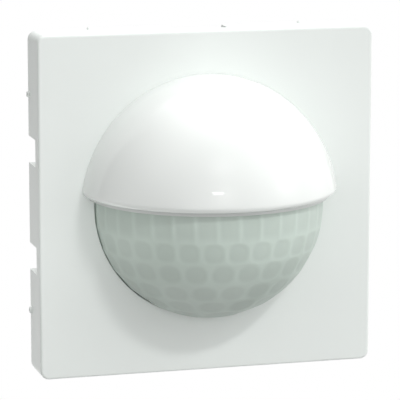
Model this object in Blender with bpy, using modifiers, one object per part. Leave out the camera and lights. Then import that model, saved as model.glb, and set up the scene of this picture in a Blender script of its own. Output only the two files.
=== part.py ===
"""Flush-mounted passive-infrared motion sensor, built as the separate pieces it is made of.

The part stands as it hangs on a wall: +Z up, the front faces -Y, and the wall box lies along +Y.
The origin is the middle of the seat plane, where the rear rim of the cover plate meets the wall.
Sizes are in millimetres until a helper turns them into metres. A front position is given as its y.
"""

import math

import bmesh
import bpy
from mathutils import Matrix, Vector

MM = 0.001

# Driving dimensions, in millimetres.
PLATE_SIDE = 71.0
SKIRT_DEPTH = 9.6
PLATE_WALL = 2.0
SKIRT_WALL = 1.6
CORNER_RADIUS = 1.8
FRONT_EDGE_RADIUS = 0.5
NOTCH_WIDTH = 5.6
NOTCH_DEPTH = 6.6
NOTCH_OFFSET = 11.15
WIDE_NOTCH = 11.2
WIDE_NOTCH_DEPTH = 4.8
PIP_OFFSET = 22.55
PIP_HEIGHT = 0.5

GAP = 0.3
LENS_RADIUS = 23.85
LENS_WALL = 0.8
HOOD_RADIUS = 26.7
HOOD_WALL = 1.4
HOOD_LIP_RADIUS = 1.1
PANEL_DOME_RADIUS = 24.9
PANEL_DOME_WALL = 1.4
PANEL_FACE_DEPTH = 16.9
PANEL_RIM_RADIUS = 24.8
PANEL_FLOOR = 1.1
HOOD_LIP_Z = 2.3
PANEL_DOME_Z = 1.8
TAB_HALF_WIDTH = 2.0
TAB_INNER_RADIUS = 25.35
TAB_OUTER_RADIUS = 26.25

FLANGE_THICKNESS = 1.0
CLAMP_RADIUS = 29.0
CLAMP_BORE = 21.5
CLAMP_THICKNESS = 1.7
HOUSING_FLANGE_SIDE = 60.0
HOUSING_FLANGE_THICKNESS = 1.5
HOUSING_SIDE = 44.6
HOUSING_WALL = 1.6
HOUSING_BACK_Y = 12.0
BOARD_SIDE = 40.0
BOARD_THICKNESS = 1.6
SCREW_OFFSET = 25.5
BOSS_RADIUS = 2.8
BOSS_PILOT_RADIUS = 1.5
CLIP_WIDTH = 8.0
CLIP_THICKNESS = 0.5

DIAL_RADIUS = 3.4
DIAL_PITCH = 9.0
DIAL_Z = 7.9
SLIDER_X = -4.2
BUTTON_X = 4.4
SWITCH_ROW_Z = 13.2
SLIDER_TRAVEL = 1.8
BUTTON_TRAVEL = 0.5
KNOB_HALF_WIDTH = 1.3
TONGUE_HALF_WIDTH = 0.6
BUTTON_RADIUS = 1.6
COLLAR_THICKNESS = 0.6
BUTTON_STEM = 1.3
DIAL_STEM_RADIUS = 1.0
POST_X = 14.6
POST_Z = 5.4
POST_PILOT_RADIUS = 0.9
CONTACT_PITCH = 2.54
PLUG_REACH = 2.6
PLUG_HALF_WIDTH = 9.0
PLUG_HALF_HEIGHT = 4.5
DETECTOR_X = 6.3
DETECTOR_Y = -7.5
DETECTOR_Z = -7.0
LED_PLACE = (-5.0, -16.4)
SENSOR_PLACE = (5.0, -16.4)
SOCKET_HALF_WIDTH = 5.2
SOCKET_HALF_HEIGHT = 1.6
SOCKET_DEPTH = 2.4
FRONT_SOCKET_Z = 13.0
REAR_SOCKET_Z = 12.0

# Positions along the depth that follow from them.
FRONT_Y = -SKIRT_DEPTH
PLATE_BACK_Y = FRONT_Y + PLATE_WALL
DOME_Y = FRONT_Y
FLANGE_FRONT_Y = PLATE_BACK_Y + GAP
FLANGE_BACK_Y = FLANGE_FRONT_Y + FLANGE_THICKNESS
CLAMP_FRONT_Y = FLANGE_BACK_Y + GAP
CLAMP_BACK_Y = CLAMP_FRONT_Y + CLAMP_THICKNESS
HOUSING_FRONT_Y = CLAMP_BACK_Y + GAP
HOUSING_FLANGE_BACK_Y = HOUSING_FRONT_Y + HOUSING_FLANGE_THICKNESS
PANEL_FACE_Y = DOME_Y - PANEL_FACE_DEPTH
PANEL_WALL = 1.3
PANEL_BACK_Y = PANEL_FACE_Y + PANEL_WALL
CONTROL_BOARD_Y = PANEL_BACK_Y + 4.8
COLLAR_FRONT = -PANEL_WALL - GAP
COLLAR_BACK = COLLAR_FRONT - COLLAR_THICKNESS
CONTROL_BOARD_BACK_Y = CONTROL_BOARD_Y + BOARD_THICKNESS
SENSOR_BOARD_Y = -3.0
SENSOR_BOARD_BACK_Y = SENSOR_BOARD_Y + BOARD_THICKNESS
MAIN_BOARD_Y = 4.0
MAIN_BOARD_BACK_Y = MAIN_BOARD_Y + BOARD_THICKNESS
PLUG_FLOOR_Y = MAIN_BOARD_BACK_Y + GAP + 2.0
LENS_TOP_Z = PANEL_DOME_Z - GAP

ROUND_STEPS = 48
SMALL_STEPS = 24
HOLE_STEPS = 12
OVERSHOOT = 1.0
FAR = PLATE_SIDE
SCREW_PLACES = [(x, z) for z in (-SCREW_OFFSET, SCREW_OFFSET) for x in (-SCREW_OFFSET, SCREW_OFFSET)]
POST_PLACES = [(-POST_X, POST_Z), (POST_X, POST_Z)]

COLOURS = {
    "cover_white": ((0.76, 0.79, 0.77), 0.42, 0.0),
    "hood_white": ((0.80, 0.82, 0.81), 0.12, 0.0),
    "lens_grey": ((0.42, 0.47, 0.43), 0.45, 0.0),
    "inner_white": ((0.74, 0.76, 0.75), 0.50, 0.0),
    "black_plastic": ((0.03, 0.03, 0.03), 0.50, 0.0),
    "grey_plastic": ((0.30, 0.31, 0.31), 0.50, 0.0),
    "dial_grey": ((0.22, 0.23, 0.24), 0.45, 0.0),
    "button_blue": ((0.10, 0.16, 0.30), 0.45, 0.0),
    "board_green": ((0.02, 0.16, 0.07), 0.45, 0.0),
    "steel": ((0.62, 0.62, 0.63), 0.28, 1.0),
    "gold_contact": ((0.83, 0.62, 0.25), 0.25, 1.0),
    "detector_window": ((0.09, 0.09, 0.11), 0.10, 0.0),
    "led_red": ((0.55, 0.03, 0.02), 0.15, 0.0),
    "cable_white": ((0.78, 0.78, 0.74), 0.55, 0.0),
    "capacitor_sleeve": ((0.04, 0.06, 0.10), 0.35, 0.0),
}


def clear_scene():
    for obj in list(bpy.data.objects):
        bpy.data.objects.remove(obj, do_unlink=True)


def make_collection(name):
    collection = bpy.data.collections.new(name)
    bpy.context.scene.collection.children.link(collection)
    return collection


def make_material(name):
    colour, roughness, metallic = COLOURS[name]
    material = bpy.data.materials.new(name)
    material.use_nodes = True
    shader = material.node_tree.nodes["Principled BSDF"]
    shader.inputs["Base Color"].default_value = (*colour, 1.0)
    shader.inputs["Roughness"].default_value = roughness
    shader.inputs["Metallic"].default_value = metallic
    material.diffuse_color = (*colour, 1.0)
    return material


clear_scene()
SENSOR = make_collection("motion_sensor")
CUTTERS = make_collection("cutters")


# Helpers that make a mesh.


def add_box(mesh, low, high, turn=None):
    """Adds a box between two corners to a bmesh, turned about the origin by a matrix if one is given."""
    low, high = Vector(low) * MM, Vector(high) * MM
    size = high - low
    place = Matrix.Translation((low + high) / 2) @ Matrix.Diagonal((*size, 1.0))
    return bmesh.ops.create_cube(mesh, size=1.0, matrix=(turn or Matrix()) @ place)["verts"]


def add_rod(mesh, centre, radius, front_y, back_y, steps=SMALL_STEPS):
    """Adds a cylinder along Y to a bmesh; centre is (x, z)."""
    middle = Vector((centre[0], (front_y + back_y) / 2, centre[1])) * MM
    place = Matrix.Translation(middle) @ Matrix.Rotation(math.pi / 2, 4, "X")
    bmesh.ops.create_cone(
        mesh,
        cap_ends=True,
        segments=steps,
        radius1=radius * MM,
        radius2=radius * MM,
        depth=(back_y - front_y) * MM,
        matrix=place,
    )


def object_from(name, mesh, collection):
    data = bpy.data.meshes.new(name)
    mesh.to_mesh(data)
    mesh.free()
    obj = bpy.data.objects.new(name, data)
    collection.objects.link(obj)
    return obj


def finish_piece(obj, material_name):
    obj.data.materials.append(make_material(material_name))
    if obj.type == "MESH":
        obj.data.shade_smooth()
        obj.data.set_sharp_from_angle(angle=math.radians(35))
    return obj


def piece(name, mesh, material_name):
    return finish_piece(object_from(name, mesh, SENSOR), material_name)


def helper(name, mesh):
    """A cutter or an added body: it shapes another piece and is never a piece itself."""
    obj = object_from(name, mesh, CUTTERS)
    obj.hide_render = True
    obj.display_type = "WIRE"
    return obj


def combine(target, other, operation):
    modifier = target.modifiers.new(other.name, "BOOLEAN")
    modifier.object = other
    modifier.operation = operation
    return modifier


def box_helper(name, *boxes):
    mesh = bmesh.new()
    for low, high in boxes:
        add_box(mesh, low, high)
    return helper(name, mesh)


def rod_helper(name, centres, radius, front_y, back_y, steps=SMALL_STEPS):
    mesh = bmesh.new()
    for centre in centres:
        add_rod(mesh, centre, radius, front_y, back_y, steps)
    return helper(name, mesh)


def cut_above(obj, z):
    """Removes all of a piece that lies above a height."""
    everything_above = box_helper(obj.name + "_above", ((-FAR, -FAR, z), (FAR, FAR, FAR)))
    combine(obj, everything_above, "DIFFERENCE")


def cut_below(obj, z):
    """Removes all of a piece that lies below a height."""
    everything_below = box_helper(obj.name + "_below", ((-FAR, -FAR, -FAR), (FAR, FAR, z)))
    combine(obj, everything_below, "DIFFERENCE")


def bevel_edges(mesh, edges, offset, segments):
    bmesh.ops.bevel(
        mesh, geom=edges, offset=offset * MM, segments=segments, profile=0.5, affect="EDGES"
    )


def edges_along_depth(mesh, length):
    """The edges of a box that run along Y, where the box is that deep."""
    return [
        edge for edge in mesh.edges
        if abs(edge.verts[0].co.y - edge.verts[1].co.y) > length * MM / 2
    ]


def edges_in_plane(mesh, y):
    return [
        edge for edge in mesh.edges
        if all(abs(vert.co.y - y * MM) < 1e-6 for vert in edge.verts)
    ]


def box_piece(name, low, high, material_name, bevel=0.0):
    mesh = bmesh.new()
    add_box(mesh, low, high)
    if bevel:
        bevel_edges(mesh, mesh.edges[:], bevel, 2)
    return piece(name, mesh, material_name)


def turned(name, profile, material_name, steps=SMALL_STEPS, closed=False):
    """A turned piece about its own Z, from (radius, height) points that run down its outer side."""
    mesh = bmesh.new()
    points = [mesh.verts.new((radius * MM, 0.0, height * MM)) for radius, height in profile]
    for first, second in zip(points, points[1:]):
        mesh.edges.new((first, second))
    if closed:
        mesh.edges.new((points[-1], points[0]))
    obj = piece(name, mesh, material_name)
    screw = obj.modifiers.new("turn", "SCREW")
    screw.axis = "Z"
    screw.steps = steps
    screw.render_steps = steps
    screw.use_merge_vertices = True
    screw.merge_threshold = 1e-6
    screw.use_smooth_shade = True
    return obj


def face_forward(obj, x=0.0, y=0.0, z=0.0, yaw=0.0):
    """Turns a piece so that its own +Z looks out of the front, then puts it in its place."""
    obj.rotation_euler = (math.pi / 2, 0.0, yaw)
    obj.location = Vector((x, y, z)) * MM
    return obj


def outline_piece(name, points, thickness, material_name):
    """A flat outline in its own XY plane, extruded to a thickness about that plane."""
    curve = bpy.data.curves.new(name, "CURVE")
    curve.dimensions = "2D"
    curve.fill_mode = "BOTH"
    curve.extrude = thickness / 2 * MM
    spline = curve.splines.new("POLY")
    spline.points.add(len(points) - 1)
    for point, (across, along) in zip(spline.points, points):
        point.co = (across * MM, along * MM, 0.0, 1.0)
    spline.use_cyclic_u = True
    obj = bpy.data.objects.new(name, curve)
    SENSOR.objects.link(obj)
    return finish_piece(obj, material_name)


def as_mesh(obj):
    """Replaces a curve object by its welded mesh, so that a Boolean can cut it."""
    bpy.context.view_layer.update()
    evaluated = obj.evaluated_get(bpy.context.evaluated_depsgraph_get())
    data = bpy.data.meshes.new_from_object(evaluated)
    mesh = bmesh.new()
    mesh.from_mesh(data)
    bmesh.ops.remove_doubles(mesh, verts=mesh.verts[:], dist=1e-6)
    mesh.to_mesh(data)
    mesh.free()
    solid = bpy.data.objects.new(obj.name + "_mesh", data)
    solid.matrix_world = obj.matrix_world
    SENSOR.objects.link(solid)
    name = obj.name
    bpy.data.objects.remove(obj, do_unlink=True)
    solid.name = name
    return solid


def arc(radius, first, last, count, centre=(0.0, 0.0)):
    """Points on a circle from one angle to another, in degrees, both ends included."""
    angles = [math.radians(first + (last - first) * step / (count - 1)) for step in range(count)]
    return [
        (centre[0] + radius * math.cos(angle), centre[1] + radius * math.sin(angle))
        for angle in angles
    ]


def ribbon_outline(path, thickness):
    """The outline of a strip of even thickness along a path of (across, along) points."""
    sides = ([], [])
    for index, point in enumerate(path):
        before = Vector(path[max(index - 1, 0)])
        after = Vector(path[min(index + 1, len(path) - 1)])
        along = (after - before).normalized()
        normal = Vector((-along.y, along.x)) * (thickness / 2)
        sides[0].append(tuple(Vector(point) + normal))
        sides[1].append(tuple(Vector(point) - normal))
    return sides[0] + sides[1][::-1]


# The visible mouldings.


def hood_tab_boxes(radial_low, radial_high, half_width, front_y, back_y):
    """Three boxes on the hood's back edge: at the top and low on both sides."""
    mesh = bmesh.new()
    for angle in (0.0, 60.0, -60.0):
        turn = Matrix.Rotation(math.radians(angle), 4, "Y")
        add_box(
            mesh,
            (-half_width, front_y, radial_low),
            (half_width, back_y, radial_high),
            turn,
        )
    return mesh


def skirt_notches():
    """Notches open to the rear: two in the left and right sides, a wide one at top and bottom."""
    low, high = PLATE_SIDE / 2 - SKIRT_WALL - OVERSHOOT, PLATE_SIDE / 2 + OVERSHOOT
    half_wide = WIDE_NOTCH / 2
    notches = []
    for side in (-1, 1):
        near, far = sorted((side * low, side * high))
        for centre in (-NOTCH_OFFSET, NOTCH_OFFSET):
            first, last = centre - NOTCH_WIDTH / 2, centre + NOTCH_WIDTH / 2
            notches.append(((near, -NOTCH_DEPTH, first), (far, OVERSHOOT, last)))
        notches.append(((-half_wide, -WIDE_NOTCH_DEPTH, near), (half_wide, OVERSHOOT, far)))
    return box_helper("skirt_notches", *notches)


def skirt_pips():
    """Two small raised pips near the ends of each side of the skirt."""
    half_length, root, front_y, back_y, chamfer = 0.7, 0.8, -1.6, -0.2, 0.35
    half = PLATE_SIDE / 2
    mesh = bmesh.new()
    for side in range(4):
        turn = Matrix.Rotation(math.radians(90.0 * side), 4, "Y")
        for centre in (-PIP_OFFSET, PIP_OFFSET):
            low = (half - root, front_y, centre - half_length)
            high = (half + PIP_HEIGHT, back_y, centre + half_length)
            corners = add_box(mesh, low, high, turn)
            edges = {edge for vert in corners for edge in vert.link_edges}
            bevel_edges(mesh, list(edges), chamfer, 1)
    return helper("skirt_pips", mesh)


def cover_plate():
    half = PLATE_SIDE / 2
    mesh = bmesh.new()
    add_box(mesh, (-half, FRONT_Y, -half), (half, 0.0, half))
    bevel_edges(mesh, edges_along_depth(mesh, SKIRT_DEPTH), CORNER_RADIUS, 4)
    bevel_edges(mesh, edges_in_plane(mesh, FRONT_Y), FRONT_EDGE_RADIUS, 2)
    plate = piece("cover_plate", mesh, "cover_white")

    inner = half - SKIRT_WALL
    hollow = box_helper(
        "plate_hollow", ((-inner, PLATE_BACK_Y, -inner), (inner, OVERSHOOT, inner))
    )
    combine(plate, hollow, "DIFFERENCE")
    combine(plate, skirt_notches(), "DIFFERENCE")

    bosses = rod_helper(
        "screw_bosses",
        SCREW_PLACES,
        BOSS_RADIUS,
        PLATE_BACK_Y - OVERSHOOT,
        HOUSING_FRONT_Y - GAP,
    )
    combine(plate, bosses, "UNION")
    boss_floor_y = FRONT_Y + 1.2
    pilots = rod_helper(
        "boss_pilots", SCREW_PLACES, BOSS_PILOT_RADIUS, boss_floor_y, 0.0, HOLE_STEPS
    )
    combine(plate, pilots, "DIFFERENCE")

    centre = [(0.0, 0.0)]
    through = (FRONT_Y - OVERSHOOT, PLATE_BACK_Y + OVERSHOOT)
    lens_hole = LENS_RADIUS + 0.27
    aperture = rod_helper("lens_aperture", centre, lens_hole, *through, ROUND_STEPS)
    combine(plate, aperture, "DIFFERENCE")
    upper_hole = PANEL_DOME_RADIUS + GAP
    upper = rod_helper("upper_aperture", centre, upper_hole, *through, ROUND_STEPS)
    cut_below(upper, LENS_TOP_Z)
    combine(plate, upper, "DIFFERENCE")
    slots = hood_tab_boxes(
        TAB_INNER_RADIUS - 0.35, TAB_OUTER_RADIUS + 0.25, TAB_HALF_WIDTH + GAP, *through
    )
    combine(plate, helper("hood_slots", slots), "DIFFERENCE")
    combine(plate, skirt_pips(), "UNION")
    return plate


def hood():
    lip_height = HOOD_LIP_Z + HOOD_LIP_RADIUS
    lip_reach = HOOD_RADIUS - HOOD_LIP_RADIUS
    lip_middle = (math.sqrt(lip_reach**2 - lip_height**2), lip_height)
    lip_angle = math.degrees(math.asin(lip_height / lip_reach))
    inner = HOOD_RADIUS - HOOD_WALL
    inner_angle = math.degrees(math.asin(HOOD_LIP_Z / inner))
    outer_arc = [(0.0, HOOD_RADIUS)] + arc(HOOD_RADIUS, 90.0, lip_angle, 13)[1:]
    lip_arc = arc(HOOD_LIP_RADIUS, lip_angle, -90.0, 5, lip_middle)[1:]
    inner_arc = arc(inner, inner_angle, 90.0, 12)[:-1] + [(0.0, inner)]
    shell = turned("hood", outer_arc + lip_arc + inner_arc, "hood_white", ROUND_STEPS)
    shell.location = (0.0, DOME_Y * MM, 0.0)
    behind = box_helper("behind_hood", ((-FAR, FRONT_Y - GAP, -FAR), (FAR, FAR, FAR)))
    combine(shell, behind, "DIFFERENCE")
    tab_root_y, tab_end_y = FRONT_Y - 1.2, PLATE_BACK_Y - 0.2
    tabs = hood_tab_boxes(
        TAB_INNER_RADIUS, TAB_OUTER_RADIUS, TAB_HALF_WIDTH, tab_root_y, tab_end_y
    )
    combine(shell, helper("hood_tabs", tabs), "UNION")
    return shell


def lens():
    inner = LENS_RADIUS - LENS_WALL
    rim = 26.5
    profile = [(0.0, LENS_RADIUS - DOME_Y)]
    profile += arc(LENS_RADIUS, 90.0, 0.0, 13, (0.0, -DOME_Y))[1:]
    profile += [
        (LENS_RADIUS, -FLANGE_FRONT_Y),
        (rim, -FLANGE_FRONT_Y),
        (rim, -FLANGE_BACK_Y),
        (inner, -FLANGE_BACK_Y),
    ]
    profile += arc(inner, 0.0, 90.0, 13, (0.0, -DOME_Y))[:-1] + [(0.0, inner - DOME_Y)]
    dome = face_forward(turned("lens", profile, "lens_grey", ROUND_STEPS))
    cut_above(dome, LENS_TOP_Z)
    return dome


def panel_floor():
    """The half disc under the control panel, whose round edge shows below the hood's lip."""
    back_y = FLANGE_BACK_Y - 0.5
    outline = arc(PANEL_RIM_RADIUS, -180.0, 0.0, 33, (0.0, DOME_Y))
    outline += [(PANEL_RIM_RADIUS, back_y), (-PANEL_RIM_RADIUS, back_y)]
    floor = outline_piece("panel_floor", outline, PANEL_FLOOR, "inner_white")
    clear_of_cut = 0.02
    floor.location = (0.0, 0.0, (PANEL_DOME_Z + clear_of_cut + PANEL_FLOOR / 2) * MM)
    floor = as_mesh(floor)
    SENSOR.objects.unlink(floor)
    CUTTERS.objects.link(floor)
    floor.hide_render = True
    floor.display_type = "WIRE"
    return floor


def control_dome():
    inner = PANEL_DOME_RADIUS - PANEL_DOME_WALL
    face_angle = math.degrees(math.asin(PANEL_FACE_DEPTH / PANEL_DOME_RADIUS))
    back_angle = math.degrees(math.asin((PANEL_FACE_DEPTH - PANEL_WALL) / inner))
    rim = 28.0
    profile = [(0.0, -PANEL_FACE_Y)]
    profile += arc(PANEL_DOME_RADIUS, face_angle, 0.0, 8, (0.0, -DOME_Y))
    profile += [
        (PANEL_DOME_RADIUS, -FLANGE_FRONT_Y),
        (rim, -FLANGE_FRONT_Y),
        (rim, -FLANGE_BACK_Y),
        (inner, -FLANGE_BACK_Y),
    ]
    profile += arc(inner, 0.0, back_angle, 8, (0.0, -DOME_Y)) + [(0.0, -PANEL_BACK_Y)]
    dome = face_forward(turned("control_dome", profile, "inner_white", ROUND_STEPS))
    cut_below(dome, PANEL_DOME_Z)
    combine(dome, panel_floor(), "UNION")

    board_posts = rod_helper(
        "board_posts", POST_PLACES, 1.4, PANEL_FACE_Y + 0.6, CONTROL_BOARD_Y - GAP, 16
    )
    combine(dome, board_posts, "UNION")
    post_pilots = rod_helper(
        "post_pilots",
        POST_PLACES,
        POST_PILOT_RADIUS,
        PANEL_BACK_Y + 1.0,
        CONTROL_BOARD_Y,
        HOLE_STEPS,
    )
    combine(dome, post_pilots, "DIFFERENCE")
    dials = [(step * DIAL_PITCH, DIAL_Z) for step in (-1, 0, 1)]
    through = (PANEL_FACE_Y - OVERSHOOT, PANEL_BACK_Y + 0.6)
    combine(dome, rod_helper("dial_holes", dials, DIAL_RADIUS + GAP, *through), "DIFFERENCE")
    button = [(BUTTON_X, SWITCH_ROW_Z)]
    combine(dome, rod_helper("button_hole", button, BUTTON_RADIUS + GAP, *through, 16), "DIFFERENCE")
    reach = KNOB_HALF_WIDTH + SLIDER_TRAVEL + GAP
    half_height = 1.0
    low = (SLIDER_X - reach, through[0], SWITCH_ROW_Z - half_height)
    high = (SLIDER_X + reach, through[1], SWITCH_ROW_Z + half_height)
    combine(dome, box_helper("slider_slot", (low, high)), "DIFFERENCE")
    return dome


def clamp_ring():
    profile = [
        (CLAMP_RADIUS, -CLAMP_FRONT_Y),
        (CLAMP_RADIUS, -CLAMP_BACK_Y),
        (CLAMP_BORE, -CLAMP_BACK_Y),
        (CLAMP_BORE, -CLAMP_FRONT_Y),
    ]
    return face_forward(turned("clamp_ring", profile, "inner_white", 40, closed=True))


# The controls under the hood.


def control_dial(name, x):
    """A screwdriver-slotted dial; its own origin is on its turning axis at the panel's face."""
    profile = [
        (0.0, 1.1),
        (DIAL_RADIUS - 0.4, 1.1),
        (DIAL_RADIUS, 0.7),
        (DIAL_RADIUS, COLLAR_FRONT),
        (DIAL_RADIUS + 0.7, COLLAR_FRONT),
        (DIAL_RADIUS + 0.7, COLLAR_BACK),
        (DIAL_STEM_RADIUS, COLLAR_BACK),
        (DIAL_STEM_RADIUS, COLLAR_BACK - 1.8),
        (0.0, COLLAR_BACK - 1.8),
    ]
    dial = face_forward(turned(name, profile, "dial_grey"), x, PANEL_FACE_Y, DIAL_Z)
    half_width, half_length, slot_floor = 0.45, 2.4, 0.3
    low = (x - half_width, PANEL_FACE_Y - 2.0, DIAL_Z - half_length)
    high = (x + half_width, PANEL_FACE_Y - slot_floor, DIAL_Z + half_length)
    combine(dial, box_helper(name + "_slot", (low, high)), "DIFFERENCE")
    return dial


def potentiometer(name, x):
    front, half = PANEL_BACK_Y + 1.2, 3.3
    low = (x - half, front, DIAL_Z - half)
    high = (x + half, CONTROL_BOARD_Y - GAP, DIAL_Z + half)
    body = box_piece(name, low, high, "black_plastic", 0.25)
    bore_radius, bore_depth = DIAL_STEM_RADIUS + GAP, 1.9
    bore = rod_helper(
        name + "_bore", [(x, DIAL_Z)], bore_radius, front - OVERSHOOT, front + bore_depth, 16
    )
    combine(body, bore, "DIFFERENCE")
    return body


def mode_slider():
    """The knob, its carriage behind the panel, and the tongue that moves the switch."""
    carriage_y = PANEL_BACK_Y + GAP
    shared_y = carriage_y + 0.4
    knob = bmesh.new()
    add_box(
        knob,
        (-KNOB_HALF_WIDTH, PANEL_FACE_Y - 1.0, -0.7),
        (KNOB_HALF_WIDTH, shared_y, 0.7),
    )
    slider = piece("mode_slider", knob, "dial_grey")
    place = Vector((SLIDER_X, 0.0, SWITCH_ROW_Z)) * MM
    slider.location = place
    carriage = box_helper("slider_carriage", ((-2.2, carriage_y, -0.9), (2.2, carriage_y + 0.8, 0.9)))
    tongue = box_helper(
        "slider_tongue",
        ((-TONGUE_HALF_WIDTH, shared_y, -0.4), (TONGUE_HALF_WIDTH, carriage_y + 2.0, 0.4)),
    )
    for part in (carriage, tongue):
        part.location = place
        combine(slider, part, "UNION")
    return slider


def mode_switch():
    front, half_width, half_height = PANEL_BACK_Y + 1.6, 4.4, 1.6
    low = (SLIDER_X - half_width, front, SWITCH_ROW_Z - half_height)
    high = (SLIDER_X + half_width, CONTROL_BOARD_Y - GAP, SWITCH_ROW_Z + half_height)
    body = box_piece("mode_switch", low, high, "black_plastic")
    reach, groove_half_height = TONGUE_HALF_WIDTH + SLIDER_TRAVEL + GAP, 0.7
    low = (SLIDER_X - reach, front - OVERSHOOT, SWITCH_ROW_Z - groove_half_height)
    high = (SLIDER_X + reach, front + 1.1, SWITCH_ROW_Z + groove_half_height)
    combine(body, box_helper("switch_groove", (low, high)), "DIFFERENCE")
    return body


def test_button():
    """A round push button; its own origin is on its axis at the panel's face."""
    stem_radius = 0.9
    profile = [
        (0.0, 0.8),
        (BUTTON_RADIUS - 0.3, 0.8),
        (BUTTON_RADIUS, 0.5),
        (BUTTON_RADIUS, COLLAR_FRONT),
        (BUTTON_RADIUS + 0.6, COLLAR_FRONT),
        (BUTTON_RADIUS + 0.6, COLLAR_BACK),
        (stem_radius, COLLAR_BACK),
        (stem_radius, COLLAR_BACK - BUTTON_STEM),
        (0.0, COLLAR_BACK - BUTTON_STEM),
    ]
    button = turned("test_button", profile, "button_blue", 16)
    return face_forward(button, BUTTON_X, PANEL_FACE_Y, SWITCH_ROW_Z)


def test_switch():
    """The switch behind the button, which still has a little room left at the end of its travel."""
    stem_end_y = PANEL_FACE_Y - COLLAR_BACK + BUTTON_STEM
    front = stem_end_y + BUTTON_TRAVEL + 0.4
    low = (BUTTON_X - 2.2, front, SWITCH_ROW_Z - 1.6)
    high = (BUTTON_X + 2.2, CONTROL_BOARD_Y - GAP, SWITCH_ROW_Z + 1.6)
    return box_piece("test_switch", low, high, "black_plastic")


def control_board():
    radius, lower_edge_z = 19.6, 3.6
    low_angle = math.degrees(math.asin(lower_edge_z / radius))
    outline = arc(radius, low_angle, 180.0 - low_angle, 25)
    board = outline_piece("control_board", outline, BOARD_THICKNESS, "board_green")
    face_forward(board, y=CONTROL_BOARD_Y + BOARD_THICKNESS / 2)
    board = as_mesh(board)
    holes = rod_helper(
        "board_screw_holes",
        POST_PLACES,
        POST_PILOT_RADIUS,
        CONTROL_BOARD_Y - OVERSHOOT,
        CONTROL_BOARD_BACK_Y + OVERSHOOT,
        HOLE_STEPS,
    )
    combine(board, holes, "DIFFERENCE")
    return board


def screw(name, place, seat_y, head, shank):
    """A pan-head screw driven towards the front; its head, (radius, height), rests at seat_y."""
    x, z = place
    head_radius, head_height = head
    shank_radius, length = shank
    point = shank_radius * 0.6
    profile = [
        (0.0, length),
        (point, length),
        (shank_radius, length - point),
        (shank_radius, 0.0),
        (head_radius, 0.0),
        (head_radius, -head_height * 0.5),
        (head_radius * 0.8, -head_height),
        (0.0, -head_height),
    ]
    fastener = face_forward(turned(name, profile, "steel", 16), x, seat_y, z)
    back = seat_y + head_height
    floor_y = back - head_height * 0.5
    reach, width = head_radius * 0.62, head_radius * 0.13
    for suffix, half_x, half_z in (("_drive", width, reach), ("_cross", reach, width)):
        low = (x - half_x, floor_y, z - half_z)
        high = (x + half_x, back + OVERSHOOT, z + half_z)
        combine(fastener, box_helper(name + suffix, (low, high)), "DIFFERENCE")
    return fastener


# The optics and electronics.


def detector_carrier():
    """A wedge with a 45 degree seat on each side."""
    back = SENSOR_BOARD_Y - GAP
    foot, tip = 10.07, 0.9
    front = back - (foot - tip)
    outline = [(-foot, back), (foot, back), (tip, front), (-tip, front)]
    carrier = outline_piece("detector_carrier", outline, 11.2, "black_plastic")
    carrier.location = (0.0, 0.0, DETECTOR_Z * MM)
    return carrier


def detector(side_name, side):
    """One pyroelectric detector and its filter window, which look out at 45 degrees."""
    yaw = side * math.pi / 4
    x, y, z = side * DETECTOR_X, DETECTOR_Y, DETECTOR_Z
    can_radius, base_radius, height, base = 4.15, 4.6, 4.2, 0.8
    profile = [
        (0.0, height),
        (can_radius - 0.25, height),
        (can_radius, height - 0.25),
        (can_radius, base),
        (base_radius, base),
        (base_radius, 0.0),
        (0.0, 0.0),
    ]
    can = face_forward(turned("detector_" + side_name, profile, "steel"), x, y, z, yaw)
    half_width, half_length = 2.0, 1.6
    low = (-half_width - GAP, -half_length - GAP, height - 0.7)
    high = (half_width + GAP, half_length + GAP, height + OVERSHOOT)
    recess = box_helper("recess_" + side_name, (low, high))
    face_forward(recess, x, y, z, yaw)
    combine(can, recess, "DIFFERENCE")
    low = (-half_width, -half_length, height - 0.4)
    high = (half_width, half_length, height + 0.05)
    window = box_piece("detector_window_" + side_name, low, high, "detector_window")
    face_forward(window, x, y, z, yaw)


def status_led():
    radius, base_radius, shoulder = 1.5, 1.9, 3.8
    profile = [(0.0, shoulder + radius)] + arc(radius, 90.0, 0.0, 5, (0.0, shoulder))[1:]
    profile += [(radius, 1.0), (base_radius, 1.0), (base_radius, 0.0), (0.0, 0.0)]
    led = turned("status_led", profile, "led_red", 16)
    return face_forward(led, LED_PLACE[0], SENSOR_BOARD_Y - GAP, LED_PLACE[1])


def light_sensor():
    back, half, height = SENSOR_BOARD_Y - GAP, 1.6, 3.6
    x, z = SENSOR_PLACE
    low = (x - half, back - height, z - half)
    high = (x + half, back, z + half)
    return box_piece("light_sensor", low, high, "detector_window", 0.3)


def board(name, half_height, front_y):
    half = BOARD_SIDE / 2
    return box_piece(
        name,
        (-half, front_y, -half_height),
        (half, front_y + BOARD_THICKNESS, half_height),
        "board_green",
    )


def link_cable():
    """The flat cable from the control board's socket back to the sensor board's socket."""
    clear_of_socket = GAP + SOCKET_DEPTH + GAP
    start = Vector((CONTROL_BOARD_BACK_Y + clear_of_socket, FRONT_SOCKET_Z))
    end = Vector((SENSOR_BOARD_Y - clear_of_socket, REAR_SOCKET_Z))
    steps, sag = 16, 3.2
    path = []
    for step in range(steps + 1):
        share = step / steps
        point = start.lerp(end, share)
        path.append((point.x, point.y - sag * math.sin(math.pi * share) ** 2))
    cable = outline_piece("link_cable", ribbon_outline(path, 0.5), 8.0, "cable_white")
    cable.rotation_euler = (math.pi / 2, 0.0, math.pi / 2)
    return cable


def link_socket(name, z, front_y):
    low = (-SOCKET_HALF_WIDTH, front_y, z - SOCKET_HALF_HEIGHT)
    high = (SOCKET_HALF_WIDTH, front_y + SOCKET_DEPTH, z + SOCKET_HALF_HEIGHT)
    return box_piece(name, low, high, "black_plastic")


def board_connector():
    low = (-7.0, SENSOR_BOARD_BACK_Y + GAP, -13.4)
    high = (7.0, MAIN_BOARD_Y - GAP, -10.4)
    return box_piece("board_connector", low, high, "black_plastic")


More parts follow.
